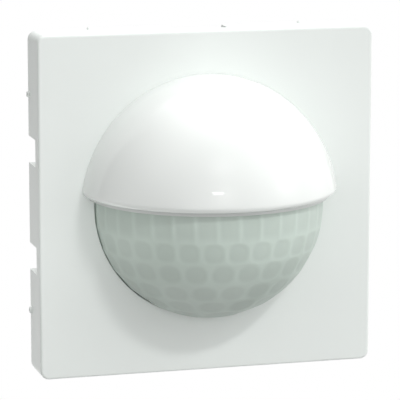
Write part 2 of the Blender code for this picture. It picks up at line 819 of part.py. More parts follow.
def microcontroller():
    back, thickness = MAIN_BOARD_Y - GAP, 1.4
    low = (-13.0, back - thickness, 1.0)
    high = (-4.0, back, 10.0)
    return box_piece("microcontroller", low, high, "black_plastic", 0.2)


def capacitor():
    """An electrolytic capacitor that lies on the back of the main board."""
    radius, length, x, z = 2.0, 9.0, 12.0, 11.0
    mesh = bmesh.new()
    place = Matrix.Translation(Vector((x, MAIN_BOARD_BACK_Y + GAP + radius, z)) * MM)
    place = place @ Matrix.Rotation(math.pi / 2, 4, "Y")
    bmesh.ops.create_cone(
        mesh,
        cap_ends=True,
        segments=SMALL_STEPS,
        radius1=radius * MM,
        radius2=radius * MM,
        depth=length * MM,
        matrix=place,
    )
    return piece("capacitor", mesh, "capacitor_sleeve")


def choke():
    """A bobbin with a waist for its winding, on the back of the main board."""
    front, radius, waist = MAIN_BOARD_BACK_Y + GAP, 3.2, 2.2
    profile = [
        (0.0, -front),
        (radius, -front),
        (radius, -front - 1.0),
        (waist, -front - 1.3),
        (waist, -front - 2.7),
        (radius, -front - 3.0),
        (radius, -front - 4.0),
        (0.0, -front - 4.0),
    ]
    return face_forward(turned("choke", profile, "grey_plastic"), -13.0, 0.0, 9.5)


def corner_posts(name, inner, first_z, reach, front_y, back_y):
    """Four posts in the tray's corners; x and z run from inner and first_z out to reach."""
    posts = []
    for side in (-1, 1):
        for end in (-1, 1):
            x_low, x_high = sorted((side * inner, side * reach))
            z_low, z_high = sorted((end * first_z, end * reach))
            posts.append(((x_low, front_y, z_low), (x_high, back_y, z_high)))
    return box_helper(name, *posts)


def rear_housing():
    half = HOUSING_SIDE / 2
    inner = half - HOUSING_WALL
    floor_y = HOUSING_BACK_Y - HOUSING_WALL
    mesh = bmesh.new()
    add_box(mesh, (-half, HOUSING_FRONT_Y + 0.2, -half), (half, HOUSING_BACK_Y, half))
    back_edges = [
        edge
        for edge in mesh.edges
        if any(abs(vert.co.y - HOUSING_BACK_Y * MM) < 1e-6 for vert in edge.verts)
    ]
    bevel_edges(mesh, back_edges, 0.8, 2)
    housing = piece("rear_housing", mesh, "grey_plastic")

    flange = HOUSING_FLANGE_SIDE / 2
    mesh = bmesh.new()
    add_box(mesh, (-flange, HOUSING_FRONT_Y, -flange), (flange, HOUSING_FLANGE_BACK_Y, flange))
    bevel_edges(mesh, edges_along_depth(mesh, HOUSING_FLANGE_THICKNESS), 2.0, 3)
    combine(housing, helper("housing_flange", mesh), "UNION")
    hollow = box_helper(
        "housing_hollow",
        ((-inner, HOUSING_FRONT_Y - OVERSHOOT, -inner), (inner, floor_y, inner)),
    )
    combine(housing, hollow, "DIFFERENCE")

    reach = inner + 0.4
    low_posts = corner_posts(
        "low_posts", 17.0, 13.5, reach, MAIN_BOARD_BACK_Y + GAP, floor_y + 0.4
    )
    combine(housing, low_posts, "UNION")
    tall_posts = corner_posts(
        "tall_posts", 17.1, 17.0, reach - 0.05, SENSOR_BOARD_BACK_Y + GAP, MAIN_BOARD_BACK_Y + 2.0
    )
    combine(housing, tall_posts, "UNION")
    hole_x, hole_z = PLUG_HALF_WIDTH + GAP, PLUG_HALF_HEIGHT + GAP
    plug_hole = box_helper(
        "plug_hole",
        ((-hole_x, floor_y - OVERSHOOT, -hole_z), (hole_x, HOUSING_BACK_Y + OVERSHOOT, hole_z)),
    )
    combine(housing, plug_hole, "DIFFERENCE")
    holes = rod_helper(
        "flange_holes",
        SCREW_PLACES,
        1.55,
        HOUSING_FRONT_Y - OVERSHOOT,
        HOUSING_FLANGE_BACK_Y + OVERSHOOT,
        HOLE_STEPS,
    )
    combine(housing, holes, "DIFFERENCE")
    return housing


def plug_connector():
    """The shrouded rear plug, with a keyway in the upper wall of its mouth."""
    mouth, across, up = HOUSING_BACK_Y + PLUG_REACH, PLUG_HALF_WIDTH, PLUG_HALF_HEIGHT
    front = MAIN_BOARD_BACK_Y + GAP
    body = box_piece("plug_connector", (-across, front, -up), (across, mouth, up), "black_plastic")
    wall_x, wall_z = 1.2, 1.3
    low = (-across + wall_x, PLUG_FLOOR_Y, -up + wall_z)
    high = (across - wall_x, mouth + OVERSHOOT, up - wall_z)
    combine(body, box_helper("plug_cavity", (low, high)), "DIFFERENCE")
    low = (-2.2, HOUSING_BACK_Y - 2.0, 2.0)
    high = (2.2, mouth + OVERSHOOT, up + OVERSHOOT)
    combine(body, box_helper("plug_key", (low, high)), "DIFFERENCE")
    return body


def contact_row(name, z):
    """Five square pins, joined by the strip that they are stamped from."""
    strip_y, strip_half, pin_half = PLUG_FLOOR_Y + GAP, 0.4, 0.32
    end_y = HOUSING_BACK_Y + PLUG_REACH - 1.0
    mesh = bmesh.new()
    add_box(mesh, (-5.8, strip_y, z - strip_half), (5.8, strip_y + 0.8, z + strip_half))
    row = piece(name, mesh, "gold_contact")
    pins = []
    for step in range(-2, 3):
        x = step * CONTACT_PITCH
        low = (x - pin_half, strip_y + 0.4, z - pin_half)
        high = (x + pin_half, end_y, z + pin_half)
        pins.append((low, high))
    combine(row, box_helper(name + "_pins", *pins), "UNION")
    return row


def spring_clip(name, side):
    """A bowed sheet-metal strip on the housing's side, clear of its wall."""
    wall = HOUSING_SIDE / 2 + GAP + CLIP_THICKNESS / 2
    path = [
        (wall, HOUSING_FLANGE_BACK_Y + GAP),
        (wall, 1.4),
        (wall + 0.5, 3.0),
        (wall + 1.7, 5.2),
        (wall + 2.1, 6.4),
        (wall + 1.6, 7.6),
        (wall + 0.2, 10.4),
    ]
    path = [(side * x, y) for x, y in path]
    return outline_piece(name, ribbon_outline(path, CLIP_THICKNESS), CLIP_WIDTH, "steel")


def build():
    cover_plate()
    hood()
    lens()
    control_dome()
    clamp_ring()
    for name, step in (("range", -1), ("lux", 0), ("time", 1)):
        control_dial(name + "_dial", step * DIAL_PITCH)
        potentiometer(name + "_potentiometer", step * DIAL_PITCH)
    mode_slider()
    mode_switch()
    test_button()
    test_switch()
    control_board()
    for side_name, place in zip(("left", "right"), POST_PLACES):
        screw("board_screw_" + side_name, place, CONTROL_BOARD_BACK_Y + GAP, (1.5, 1.0), (0.6, 3.6))
    detector_carrier()
    detector("left", -1)
    detector("right", 1)
    status_led()
    light_sensor()
    link_cable()
    link_socket("link_socket_front", FRONT_SOCKET_Z, CONTROL_BOARD_BACK_Y + GAP)
    link_socket("link_socket_rear", REAR_SOCKET_Z, SENSOR_BOARD_Y - GAP - SOCKET_DEPTH)
    board("sensor_board", BOARD_SIDE / 2, SENSOR_BOARD_Y)
    board("main_board", 16.7, MAIN_BOARD_Y)
    board_connector()
    microcontroller()
    capacitor()
    choke()
    rear_housing()
    for number, place in enumerate(SCREW_PLACES, start=1):
        head_seat_y = HOUSING_FLANGE_BACK_Y + GAP
        screw("housing_screw_%d" % number, place, head_seat_y, (2.4, 1.5), (1.2, 5.6))
    plug_connector()
    contact_row("contact_row_upper", CONTACT_PITCH / 2)
    contact_row("contact_row_lower", -CONTACT_PITCH / 2)
    spring_clip("spring_clip_left", -1)
    spring_clip("spring_clip_right", 1)


build()
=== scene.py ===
"""The looks of a flush-mounted motion sensor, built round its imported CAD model.

The model stands as on a wall: +Z up, the front faces -Y, and the origin is the middle of the seat
plane. The object's lengths are in millimetres, and MM turns them into metres. A turned piece is
drawn as (radius, height) points about its own +Z. Most are then turned by face_forward, so that
height runs out of the front, along -Y.
"""

import math

import bmesh
import bpy
from mathutils import Matrix, Vector

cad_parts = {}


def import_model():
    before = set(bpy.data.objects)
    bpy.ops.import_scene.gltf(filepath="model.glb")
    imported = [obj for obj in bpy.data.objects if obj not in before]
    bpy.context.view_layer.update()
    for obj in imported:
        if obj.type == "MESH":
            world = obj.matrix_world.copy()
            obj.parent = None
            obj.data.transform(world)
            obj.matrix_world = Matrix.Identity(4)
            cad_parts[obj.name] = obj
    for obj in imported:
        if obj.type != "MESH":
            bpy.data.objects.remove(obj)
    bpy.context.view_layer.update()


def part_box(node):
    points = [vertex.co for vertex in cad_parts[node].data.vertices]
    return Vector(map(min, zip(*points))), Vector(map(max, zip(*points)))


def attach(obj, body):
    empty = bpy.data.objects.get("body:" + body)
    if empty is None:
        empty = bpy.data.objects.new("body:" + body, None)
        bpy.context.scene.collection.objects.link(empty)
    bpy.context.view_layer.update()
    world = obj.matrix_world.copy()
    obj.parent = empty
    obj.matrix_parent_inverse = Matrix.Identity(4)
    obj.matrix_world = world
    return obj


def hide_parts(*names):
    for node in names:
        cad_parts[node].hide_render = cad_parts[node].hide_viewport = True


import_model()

MM = 0.001


def node_box(node):
    """A CAD node's lowest and highest corner, in millimetres."""
    low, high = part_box(node)
    return low / MM, high / MM


def node_depths(node):
    """The depths of a CAD node's front and back."""
    return [corner.y for corner in node_box(node)]


# Sizes read from the frame.
PIP_HEIGHT = 0.5
PLATE_HALF = node_box("cover_plate")[1].x - PIP_HEIGHT
FRONT_Y = node_depths("cover_plate")[0]
HOOD_RADIUS = node_box("hood")[1].z
LENS_LOW, LENS_HIGH = node_box("lens")
LENS_RADIUS = FRONT_Y - LENS_LOW.y
LENS_FLANGE_RADIUS = LENS_HIGH.x
FLANGE_BACK_Y = LENS_HIGH.y

# Sizes that the frame's boxes don't give.
PLATE_WALL = 2.0
PLATE_BACK_Y = FRONT_Y + PLATE_WALL
SKIRT_WALL = 1.6
NOTCH_WIDTH = 5.6
NOTCH_DEPTH = 6.6
NOTCH_OFFSET = 11.15
WIDE_NOTCH = 11.2
WIDE_NOTCH_DEPTH = 4.8
PIP_OFFSET = 22.55
SCREW_OFFSET = 25.5
SCREW_PLACES = [(x, z) for z in (-SCREW_OFFSET, SCREW_OFFSET) for x in (-SCREW_OFFSET, SCREW_OFFSET)]
LENS_WALL = 0.8
HOOD_WALL = 1.4
HOOD_TAB_ANGLES = (0.0, 60.0, -60.0)
PANEL_DOME_RADIUS = 24.9
PANEL_RIM_RADIUS = 24.88
BUTTON_PROUD = 0.8
PANEL_FACE_Y = node_depths("test_button")[0] + BUTTON_PROUD
PANEL_WALL = 1.3

# Sizes behind the plate and under the hood.
PANEL_BACK_Y = PANEL_FACE_Y + PANEL_WALL
CONTROL_BOARD_Y, CONTROL_BOARD_BACK_Y = node_depths("control_board")
SENSOR_BOARD_Y, SENSOR_BOARD_BACK_Y = node_depths("sensor_board")
MAIN_BOARD_Y, MAIN_BOARD_BACK_Y = node_depths("main_board")
HOUSING_LOW, HOUSING_HIGH = node_box("rear_housing")
PLUG_LOW, PLUG_HIGH = node_box("plug_connector")
HOUSING_HALF = 22.3
DIAL_PITCH = 9.0
DIAL_Z = 7.9
DIAL_RADIUS = 3.4
DIAL_PROUD = 1.1
SLIDER_X = -4.2
SLIDER_TRAVEL = 1.8
SWITCH_ROW_Z = 13.2
BUTTON_X = 4.4
BUTTON_RADIUS = 1.6
COLLAR_FRONT = 1.6
COLLAR_BACK = 2.2
POST_PLACES = [(-14.6, 5.4), (14.6, 5.4)]
CONTACT_PITCH = 2.54
SIDES = (("left", -1), ("right", 1))
DIALS = (("range", -1), ("lux", 0), ("time", 1))

# A gap between two pieces that meet, how far a cutter runs past what it cuts, a length beyond
# everything, and the steps of a large round.
GAP = 0.3
OVER = 1.0
FAR = 100.0
FINE_STEPS = 192


# Materials. Every one is procedural, in object coordinates, which are metres.


def node_material(name):
    """A material with its node tree, its Principled shader and its object coordinates."""
    material = bpy.data.materials.new(name)
    material.use_nodes = True
    tree = material.node_tree
    where = tree.nodes.new("ShaderNodeTexCoord").outputs["Object"]
    return material, tree, tree.nodes["Principled BSDF"], where


def noise(tree, where, feature_mm, detail=2.0):
    """A noise texture whose features are about this many millimetres wide."""
    node = tree.nodes.new("ShaderNodeTexNoise")
    node.inputs["Scale"].default_value = 1.0 / (feature_mm * MM)
    node.inputs["Detail"].default_value = detail
    tree.links.new(where, node.inputs["Vector"])
    return node.outputs["Fac"]


def spread(tree, value, low, high, first=0.3, last=0.7):
    """Maps a value between first and last to a range between two numbers."""
    node = tree.nodes.new("ShaderNodeMapRange")
    for socket, number in zip(("From Min", "From Max", "To Min", "To Max"), (first, last, low, high)):
        node.inputs[socket].default_value = number
    tree.links.new(value, node.inputs["Value"])
    return node.outputs["Result"]


def maths(tree, operation, first, second):
    """A Math node's output; each input is a number or another node's output."""
    node = tree.nodes.new("ShaderNodeMath")
    node.operation = operation
    for socket, value in zip(node.inputs, (first, second)):
        if isinstance(value, (int, float)):
            socket.default_value = value
        else:
            tree.links.new(value, socket)
    return node.outputs["Value"]


def blend_colours(tree, share, first, second):
    node = tree.nodes.new("ShaderNodeMix")
    node.data_type = "RGBA"
    node.inputs["A"].default_value = (*first, 1.0)
    node.inputs["B"].default_value = (*second, 1.0)
    tree.links.new(share, node.inputs["Factor"])
    return node.outputs["Result"]


def surface(tree, shader, colours, polish, grain, grain_depth):
    """Links a material's colour, its roughness and its grain, which is a bump so many mm deep."""
    bump = tree.nodes.new("ShaderNodeBump")
    bump.inputs["Distance"].default_value = grain_depth * MM
    tree.links.new(grain, bump.inputs["Height"])
    tree.links.new(bump.outputs["Normal"], shader.inputs["Normal"])
    tree.links.new(colours, shader.inputs["Base Color"])
    tree.links.new(polish, shader.inputs["Roughness"])


def mottled(name, colour, shades, flow, polish, roughness, grain, grain_depth):
    """A colour between two shades of it, an uneven polish and a fine grain.

    flow, polish and grain are noises: a feature size in millimetres, and a detail if not 2."""
    material, tree, shader, where = node_material(name)
    share = spread(tree, noise(tree, where, *flow), 0.0, 1.0)
    ends = [[channel * shade for channel in colour] for shade in shades]
    shine = spread(tree, noise(tree, where, *polish), *roughness)
    colours = blend_colours(tree, share, *ends)
    surface(tree, shader, colours, shine, noise(tree, where, *grain), grain_depth)
    return material, shader


def moulded_plastic(name, colour, roughness, grain_mm, grain_depth, mottle):
    """Moulded plastic: faint flow mottling, uneven polish and the fine grain of the mould."""
    shades, rough = (1.0 - mottle, 1.0 + mottle), (roughness - 0.04, roughness + 0.04)
    return mottled(name, colour, shades, (14.0, 3.0), (2.5,), rough, (grain_mm,), grain_depth)[0]


def glossy_plastic(name, colour, roughness):
    """Polished plastic: a clear skin over a faintly wavy moulding."""
    shades, rough = (0.992, 1.008), (roughness * 0.8, roughness * 1.2)
    material, shader = mottled(name, colour, shades, (18.0,), (3.0,), rough, (2.5,), 0.0006)
    shader.inputs["IOR"].default_value = 1.5
    return material


def metal(name, colour, roughness):
    """Plated sheet or turned metal with faint scratches and uneven shine."""
    shades, rough = (0.9, 1.04), (roughness - 0.07, roughness + 0.1)
    material, shader = mottled(
        name, colour, shades, (1.8, 4.0), (0.48, 3.0), rough, (0.12, 1.0), 0.003
    )
    shader.inputs["Metallic"].default_value = 1.0
    return material


def lens_plastic(name, cell_colour, web_colour):
    """Milky lens plastic: darker in the cells than on the webs, with painted shade darkening it
    towards the dome's foot.
    """
    # Painted shade: the lens colour falls to this share at the dome's foot, for the shade on its
    # downward-facing underside.
    painted_foot_shade, foot_z, middle_z = 0.70, -22.5, -6.0
    material, tree, shader, where = node_material(name)
    web = tree.nodes.new("ShaderNodeAttribute")
    web.attribute_name = "web"
    colours = blend_colours(tree, web.outputs["Fac"], cell_colour, web_colour)
    cloud = spread(tree, noise(tree, where, 5.0, 3.0), 0.98, 1.02)
    parts = tree.nodes.new("ShaderNodeSeparateXYZ")
    tree.links.new(where, parts.inputs["Vector"])
    # Painted shade: the colour is scaled down from middle_z to foot_z, darker towards the dome's foot.
    shade = spread(tree, parts.outputs["Z"], painted_foot_shade, 1.0, foot_z * MM, middle_z * MM)
    tint = tree.nodes.new("ShaderNodeVectorMath")
    tint.operation = "SCALE"
    tree.links.new(colours, tint.inputs[0])
    tree.links.new(maths(tree, "MULTIPLY", cloud, shade), tint.inputs["Scale"])
    polish = spread(tree, noise(tree, where, 1.5), 0.34, 0.44)
    surface(tree, shader, tint.outputs["Vector"], polish, noise(tree, where, 0.35), 0.003)
    return material


def circuit_board(name, resist, copper):
    """Green solder resist over copper: square cells make tracks that show lighter and raised."""
    cell_mm, ring = 2.2, 0.14
    material, tree, shader, where = node_material(name)
    cells = tree.nodes.new("ShaderNodeTexVoronoi")
    cells.distance = "CHEBYCHEV"
    cells.feature = "F1"
    cells.inputs["Scale"].default_value = 1.0 / (cell_mm * MM)
    cells.inputs["Randomness"].default_value = 0.8
    tree.links.new(where, cells.inputs["Vector"])
    rings = maths(tree, "PINGPONG", cells.outputs["Distance"], ring)
    track = spread(tree, rings, 0.0, 1.0, 0.055, 0.075)
    polish = spread(tree, noise(tree, where, 1.2), 0.22, 0.36)
    surface(tree, shader, blend_colours(tree, track, resist, copper), polish, track, 0.02)
    return material


# Each material: its maker, its name, its colour or colours, and what the maker asks for.
MATERIAL_LIST = (
    (moulded_plastic, "cover_white", (0.896, 0.936, 0.914), 0.42, 0.22, 0.003, 0.006),
    (glossy_plastic, "hood_white", (0.923, 0.952, 0.934), 0.035),
    (lens_plastic, "lens_grey", (0.604, 0.693, 0.636), (0.660, 0.757, 0.695)),
    (moulded_plastic, "inner_white", (0.76, 0.78, 0.77), 0.45, 0.3, 0.004, 0.01),
    (moulded_plastic, "black_plastic", (0.022, 0.023, 0.024), 0.42, 0.2, 0.004, 0.08),
    (moulded_plastic, "grey_plastic", (0.20, 0.205, 0.21), 0.48, 0.3, 0.006, 0.05),
    (moulded_plastic, "dial_grey", (0.11, 0.115, 0.12), 0.40, 0.18, 0.004, 0.05),
    (moulded_plastic, "button_blue", (0.06, 0.12, 0.28), 0.32, 0.18, 0.003, 0.04),
    (circuit_board, "board_green", (0.012, 0.10, 0.045), (0.03, 0.19, 0.08)),
    (metal, "steel", (0.62, 0.62, 0.61), 0.3),
    (metal, "gold_contact", (0.83, 0.62, 0.27), 0.26),
    (metal, "copper", (0.72, 0.34, 0.16), 0.32),
    (glossy_plastic, "detector_window", (0.05, 0.052, 0.065), 0.14),
    (glossy_plastic, "led_red", (0.50, 0.03, 0.02), 0.12),
    (moulded_plastic, "cable_white", (0.72, 0.72, 0.68), 0.5, 0.3, 0.006, 0.03),
    (glossy_plastic, "capacitor_sleeve", (0.02, 0.035, 0.075), 0.3),
)
MATERIALS = {name: make(name, *values) for make, name, *values in MATERIAL_LIST}


# Mesh tools. A box is its lowest and highest corner. A piece named cutter is used up by another.


def add_object(name, data):
    obj = bpy.data.objects.new(name, data)
    bpy.context.scene.collection.objects.link(obj)
    return obj


def object_from(name, mesh):
    data = bpy.data.meshes.new(name)
    mesh.to_mesh(data)
    mesh.free()
    return add_object(name, data)


def about_y(degrees):
    return Matrix.Rotation(math.radians(degrees), 4, "Y")


def add_box(mesh, low, high, turn=Matrix()):
    """Adds a box between two corners, turned about the origin by a matrix if one is given."""
    low, high = Vector(low) * MM, Vector(high) * MM
    place = Matrix.Translation((low + high) / 2) @ Matrix.Diagonal((*(high - low), 1.0))
    return bmesh.ops.create_cube(mesh, size=1.0, matrix=turn @ place)["verts"]


def bevel_edges(mesh, edges, radius, segments):
    bmesh.ops.bevel(
        mesh, geom=edges, offset=radius * MM, segments=segments, profile=0.5, affect="EDGES"
    )


def solid_boxes(name, corners, radius=0.0, segments=2, turns=(Matrix(),)):
    """One object of separate boxes, repeated at each turn, with rounded edges if asked for."""
    mesh = bmesh.new()
    for turn in turns:
        for low, high in corners:
            add_box(mesh, low, high, turn)
    if radius:
        bevel_edges(mesh, mesh.edges[:], radius, segments)
    return object_from(name, mesh)


def box_cutter(*corners):
    return solid_boxes("cutter", corners)


def rounded_box(name, low, high, radius=0.2, segments=3):
    return solid_boxes(name, [(low, high)], radius, segments)


def block(x, z, half_x, half_z, front, back):
    """The corners of a box about the point (x, z), between two depths."""
    return (x - half_x, front, z - half_z), (x + half_x, back, z + half_z)


def bevelled_box(name, low, high, corner, *rims, axis=1):
    """A box with rounded edges along one axis, and then in the depths that each rim names."""
    mesh = bmesh.new()
    add_box(mesh, low, high)
    long = (high[axis] - low[axis]) * MM / 2
    along = [e for e in mesh.edges if abs(e.verts[0].co[axis] - e.verts[1].co[axis]) > long]
    bevel_edges(mesh, along, *corner)
    for depths, radius, segments in rims:
        edges = [
            edge for edge in mesh.edges
            if any(all(abs(vert.co.y - y * MM) < 1e-6 for vert in edge.verts) for y in depths)
        ]
        bevel_edges(mesh, edges, radius, segments)
    return object_from(name, mesh)


def rods(centres, radius, front_y, back_y, steps=48):
    """A cutter of cylinders along Y; each centre is (x, z)."""
    mesh = bmesh.new()
    for x, z in centres:
        middle = Matrix.Translation(Vector((x, (front_y + back_y) / 2, z)) * MM)
        bmesh.ops.create_cone(
            mesh, cap_ends=True, segments=steps, radius1=radius * MM, radius2=radius * MM,
            depth=(back_y - front_y) * MM, matrix=middle @ Matrix.Rotation(math.pi / 2, 4, "X"),
        )
    return object_from("cutter", mesh)


def settle(obj):
    """Turns a piece's modifiers into its mesh."""
    bpy.context.view_layer.update()
    evaluated = obj.evaluated_get(bpy.context.evaluated_depsgraph_get())
    made = bpy.data.meshes.new_from_object(evaluated)
    obj.modifiers.clear()
    obj.data = made


def combine(obj, operation, others):
    for other in others:
        modifier = obj.modifiers.new(other.name, "BOOLEAN")
        modifier.object = other
        modifier.operation = operation
    settle(obj)
    for other in others:
        bpy.data.objects.remove(other, do_unlink=True)
    return obj


def cut(obj, *cutters):
    """Cuts others out of a piece; they are used up."""
    return combine(obj, "DIFFERENCE", cutters)


def join(obj, *others):
    """Joins others to a piece; they are used up."""
    return combine(obj, "UNION", others)


def arc(radius, first, last, count, centre=(0.0, 0.0)):
    """Points on a circle from one angle to another, in degrees, both ends included."""
    angles = [math.radians(first + (last - first) * step / (count - 1)) for step in range(count)]
    return [
        (centre[0] + radius * math.cos(angle), centre[1] + radius * math.sin(angle))
        for angle in angles
    ]


def turned(name, profile, steps=64, closed=False, radius_at=None):
    """A turned mesh about its own Z from (radius, height) points that run down its outer side.

    radius_at(radius, height, turn) may change the radius round the axis, as for knurls."""
    mesh = bmesh.new()
    rings = []
    for radius, height in profile:
        if radius < 1e-6:
            rings.append([mesh.verts.new((0.0, 0.0, height * MM))])
            continue
        ring = []
        for step in range(steps):
            turn = step / steps
            reach = radius_at(radius, height, turn) if radius_at else radius
            angle = 2 * math.pi * turn
            at = (reach * MM * math.cos(angle), reach * MM * math.sin(angle), height * MM)
            ring.append(mesh.verts.new(at))
        rings.append(ring)
    pairs = list(zip(rings, rings[1:]))
    if closed:
        pairs.append((rings[-1], rings[0]))
    for upper, lower in pairs:
        for step in range(steps):
            after = (step + 1) % steps
            corners = [upper[step % len(upper)], lower[step % len(lower)]]
            corners += [lower[after % len(lower)], upper[after % len(upper)]]
            unique = [vert for index, vert in enumerate(corners) if vert not in corners[:index]]
            if len(unique) > 2:
                mesh.faces.new(unique)
    return object_from(name, mesh)


def face_forward(obj, x=0.0, y=0.0, z=0.0, yaw=0.0):
    """Turns a piece so that its own +Z looks out of the front, and moves it to its place."""
    turn = Matrix.Rotation(yaw, 4, "Z") @ Matrix.Rotation(math.pi / 2, 4, "X")
    obj.data.transform(Matrix.Translation(Vector((x, y, z)) * MM) @ turn)
    return obj


def loft(name, rings):
    """A closed piece through rings of points, with a face at each end."""
    mesh = bmesh.new()
    made = [[mesh.verts.new(Vector(point) * MM) for point in ring] for ring in rings]
    count = len(made[0])
    for first, second in zip(made, made[1:]):
        for step in range(count):
            after = (step + 1) % count
            mesh.faces.new((first[step], first[after], second[after], second[step]))
    mesh.faces.new(made[0][::-1])
    mesh.faces.new(made[-1])
    bmesh.ops.recalc_face_normals(mesh, faces=mesh.faces[:])
    return object_from(name, mesh)


def sweep(name, path, across, section):
    """A bar along a path of points: its section is (across, out) points about the path."""
    across = Vector(across)
    rings = []
    for index, point in enumerate(path):
        before = Vector(path[max(index - 1, 0)])
        after = Vector(path[min(index + 1, len(path) - 1)])
        out = across.cross((after - before).normalized())
        rings.append([Vector(point) + across * a + out * b for a, b in section])
    return loft(name, rings)


def through_points(points, steps):
    """A smooth path through points (Catmull-Rom), with so many steps between each two."""
    points = [Vector(point) for point in points]
    ends = [points[0]] + points + [points[-1]]
    path = []
    for index in range(1, len(ends) - 2):
        p0, p1, p2, p3 = ends[index - 1:index + 3]
        for step in range(steps):
            t = step / steps
            bend = (2 * p0 - 5 * p1 + 4 * p2 - p3) * t**2 + (3 * p1 - p0 - 3 * p2 + p3) * t**3
            path.append(0.5 * (2 * p1 + (p2 - p0) * t + bend))
    return path + [points[-1]]


def smooth(obj, angle=30.0, weighted=True):
    obj.data.shade_smooth()
    obj.data.set_sharp_from_angle(angle=math.radians(angle))
    if weighted:
        obj.modifiers.new("normals", "WEIGHTED_NORMAL").keep_sharp = True
    return obj


def finish_piece(obj, slot, *nodes, body="base", material=None):
    """Gives a piece its material, chosen by its slot unless one is named, puts it on its body, and
    hides the CAD nodes that it stands for.
    """
    obj.data.materials.clear()
    obj.data.materials.append(MATERIALS[material or slot])
    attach(obj, body)
    if nodes:
        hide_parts(*nodes)


def direction(azimuth, elevation):
    """The unit vector towards an angle in degrees; azimuth 0 is the front, 90 the right."""
    turn, level = math.radians(azimuth), math.radians(elevation)
    across, depth = math.sin(turn) * math.cos(level), -math.cos(turn) * math.cos(level)
    return Vector((across, depth, math.sin(level)))


# The visible mouldings.


def to_dome(obj):
    """Moves a turned piece from the origin to the middle of the dome."""
    obj.data.transform(Matrix.Translation((0.0, FRONT_Y * MM, 0.0)))
    return obj


def tab_boxes(radial_low, radial_high, half_width, front_y, back_y):
    tab = (-half_width, front_y, radial_low), (half_width, back_y, radial_high)
    return solid_boxes("cutter", [tab], turns=[about_y(angle) for angle in HOOD_TAB_ANGLES])


def cover_plate():
    """The plate: skirt with notches and pips, screw bosses behind, and the dome's opening."""
    half, inner = PLATE_HALF, PLATE_HALF - SKIRT_WALL
    plate = bevelled_box(
        "cover_plate_shell", (-half, FRONT_Y, -half), (half, 0.0, half),
        (1.8, 10), ((FRONT_Y,), 0.55, 6), ((0.0,), 0.15, 2),
    )
    low, high = (-inner, PLATE_BACK_Y, -inner), (inner, OVER, inner)
    cut(plate, bevelled_box("cutter", low, high, (0.8, 5), ((PLATE_BACK_Y,), 0.4, 3)))

    wall_middle, reach = half - SKIRT_WALL / 2, SKIRT_WALL / 2 + OVER
    notches = []
    for side in (-1, 1):
        at = side * wall_middle
        for centre in (-NOTCH_OFFSET, NOTCH_OFFSET):
            notches.append(block(at, centre, reach, NOTCH_WIDTH / 2, -NOTCH_DEPTH, OVER))
        notches.append(block(0.0, at, WIDE_NOTCH / 2, reach, -WIDE_NOTCH_DEPTH, OVER))
    cut(plate, box_cutter(*notches))

    root_y, boss_y, gusset_y, gusset_reach, gusset_half = PLATE_BACK_Y - 0.5, -4.35, -5.6, 4.6, 0.45
    gussets = []
    for x, z in SCREW_PLACES:
        for half_x, half_z in ((gusset_reach, gusset_half), (gusset_half, gusset_reach)):
            gussets.append(block(x, z, half_x, half_z, root_y, gusset_y))
    join(plate, rods(SCREW_PLACES, 2.8, root_y, boss_y))
    join(plate, box_cutter(*gussets))
    cut(plate, rods(SCREW_PLACES, 1.05, FRONT_Y + 1.2, 0.0, 32))

    through = (FRONT_Y - OVER, PLATE_BACK_Y + OVER)
    hole, chamfer = LENS_RADIUS + 0.08, 0.12
    profile = [(0.0, -through[0]), (hole + OVER + chamfer, -through[0]), (hole, -FRONT_Y - chamfer)]
    profile += [(hole, -through[1]), (0.0, -through[1])]
    cut(plate, face_forward(turned("cutter", profile, FINE_STEPS)))
    upper = rods([(0.0, 0.0)], PANEL_DOME_RADIUS + 0.07, *through, FINE_STEPS)
    cut(upper, box_cutter(((-FAR, -FAR, -FAR), (FAR, FAR, LENS_HIGH.z))))
    cut(plate, upper)
    cut(plate, tab_boxes(25.0, 26.5, 2.3, *through))

    root, pip_half, pip_front, pip_back = half - 0.8, 0.7, -1.6, -0.2
    pips = [
        ((root, pip_front, centre - pip_half), (half + PIP_HEIGHT, pip_back, centre + pip_half))
        for centre in (-PIP_OFFSET, PIP_OFFSET)
    ]
    join(plate, solid_boxes("cutter", pips, 0.48, 5, [about_y(90.0 * side) for side in range(4)]))
    finish_piece(smooth(plate, 32.0), "cover_white", "cover_plate")


def hood():
    """A polished quarter sphere whose lower edge rolls in to a rounded lip."""
    lip_radius, lip_z, rear_y = 1.1, 2.3, FRONT_Y - 0.06
    lip_height = lip_z + lip_radius
    lip_reach = HOOD_RADIUS - lip_radius
    lip_middle = (math.sqrt(lip_reach**2 - lip_height**2), lip_height)
    lip_angle = math.degrees(math.asin(lip_height / lip_reach))
    inner = HOOD_RADIUS - HOOD_WALL
    inner_angle = math.degrees(math.asin(lip_z / inner))
    profile = [(0.0, HOOD_RADIUS)] + arc(HOOD_RADIUS, 90.0, lip_angle, 72)[1:]
    profile += arc(lip_radius, lip_angle, -90.0, 16, lip_middle)[1:]
    profile += arc(inner, inner_angle, 90.0, 48)[:-1] + [(0.0, inner)]
    shell = to_dome(turned("hood_shell", profile, FINE_STEPS))
    mesh = bmesh.new()
    mesh.from_mesh(shell.data)
    whole = mesh.verts[:] + mesh.edges[:] + mesh.faces[:]
    sliced = bmesh.ops.bisect_plane(
        mesh, geom=whole, plane_co=(0.0, rear_y * MM, 0.0), plane_no=(0.0, 1.0, 0.0), clear_outer=True
    )
    rim = [item for item in sliced["geom_cut"] if isinstance(item, bmesh.types.BMEdge)]
    bmesh.ops.edgenet_fill(mesh, edges=rim)
    bmesh.ops.recalc_face_normals(mesh, faces=mesh.faces[:])
    mesh.to_mesh(shell.data)
    mesh.free()
    join(shell, tab_boxes(25.35, 26.25, 2.0, FRONT_Y - 1.2, PLATE_BACK_Y - 0.2))
    finish_piece(smooth(shell, 40.0, False), "hood_white", "hood", body="hood")


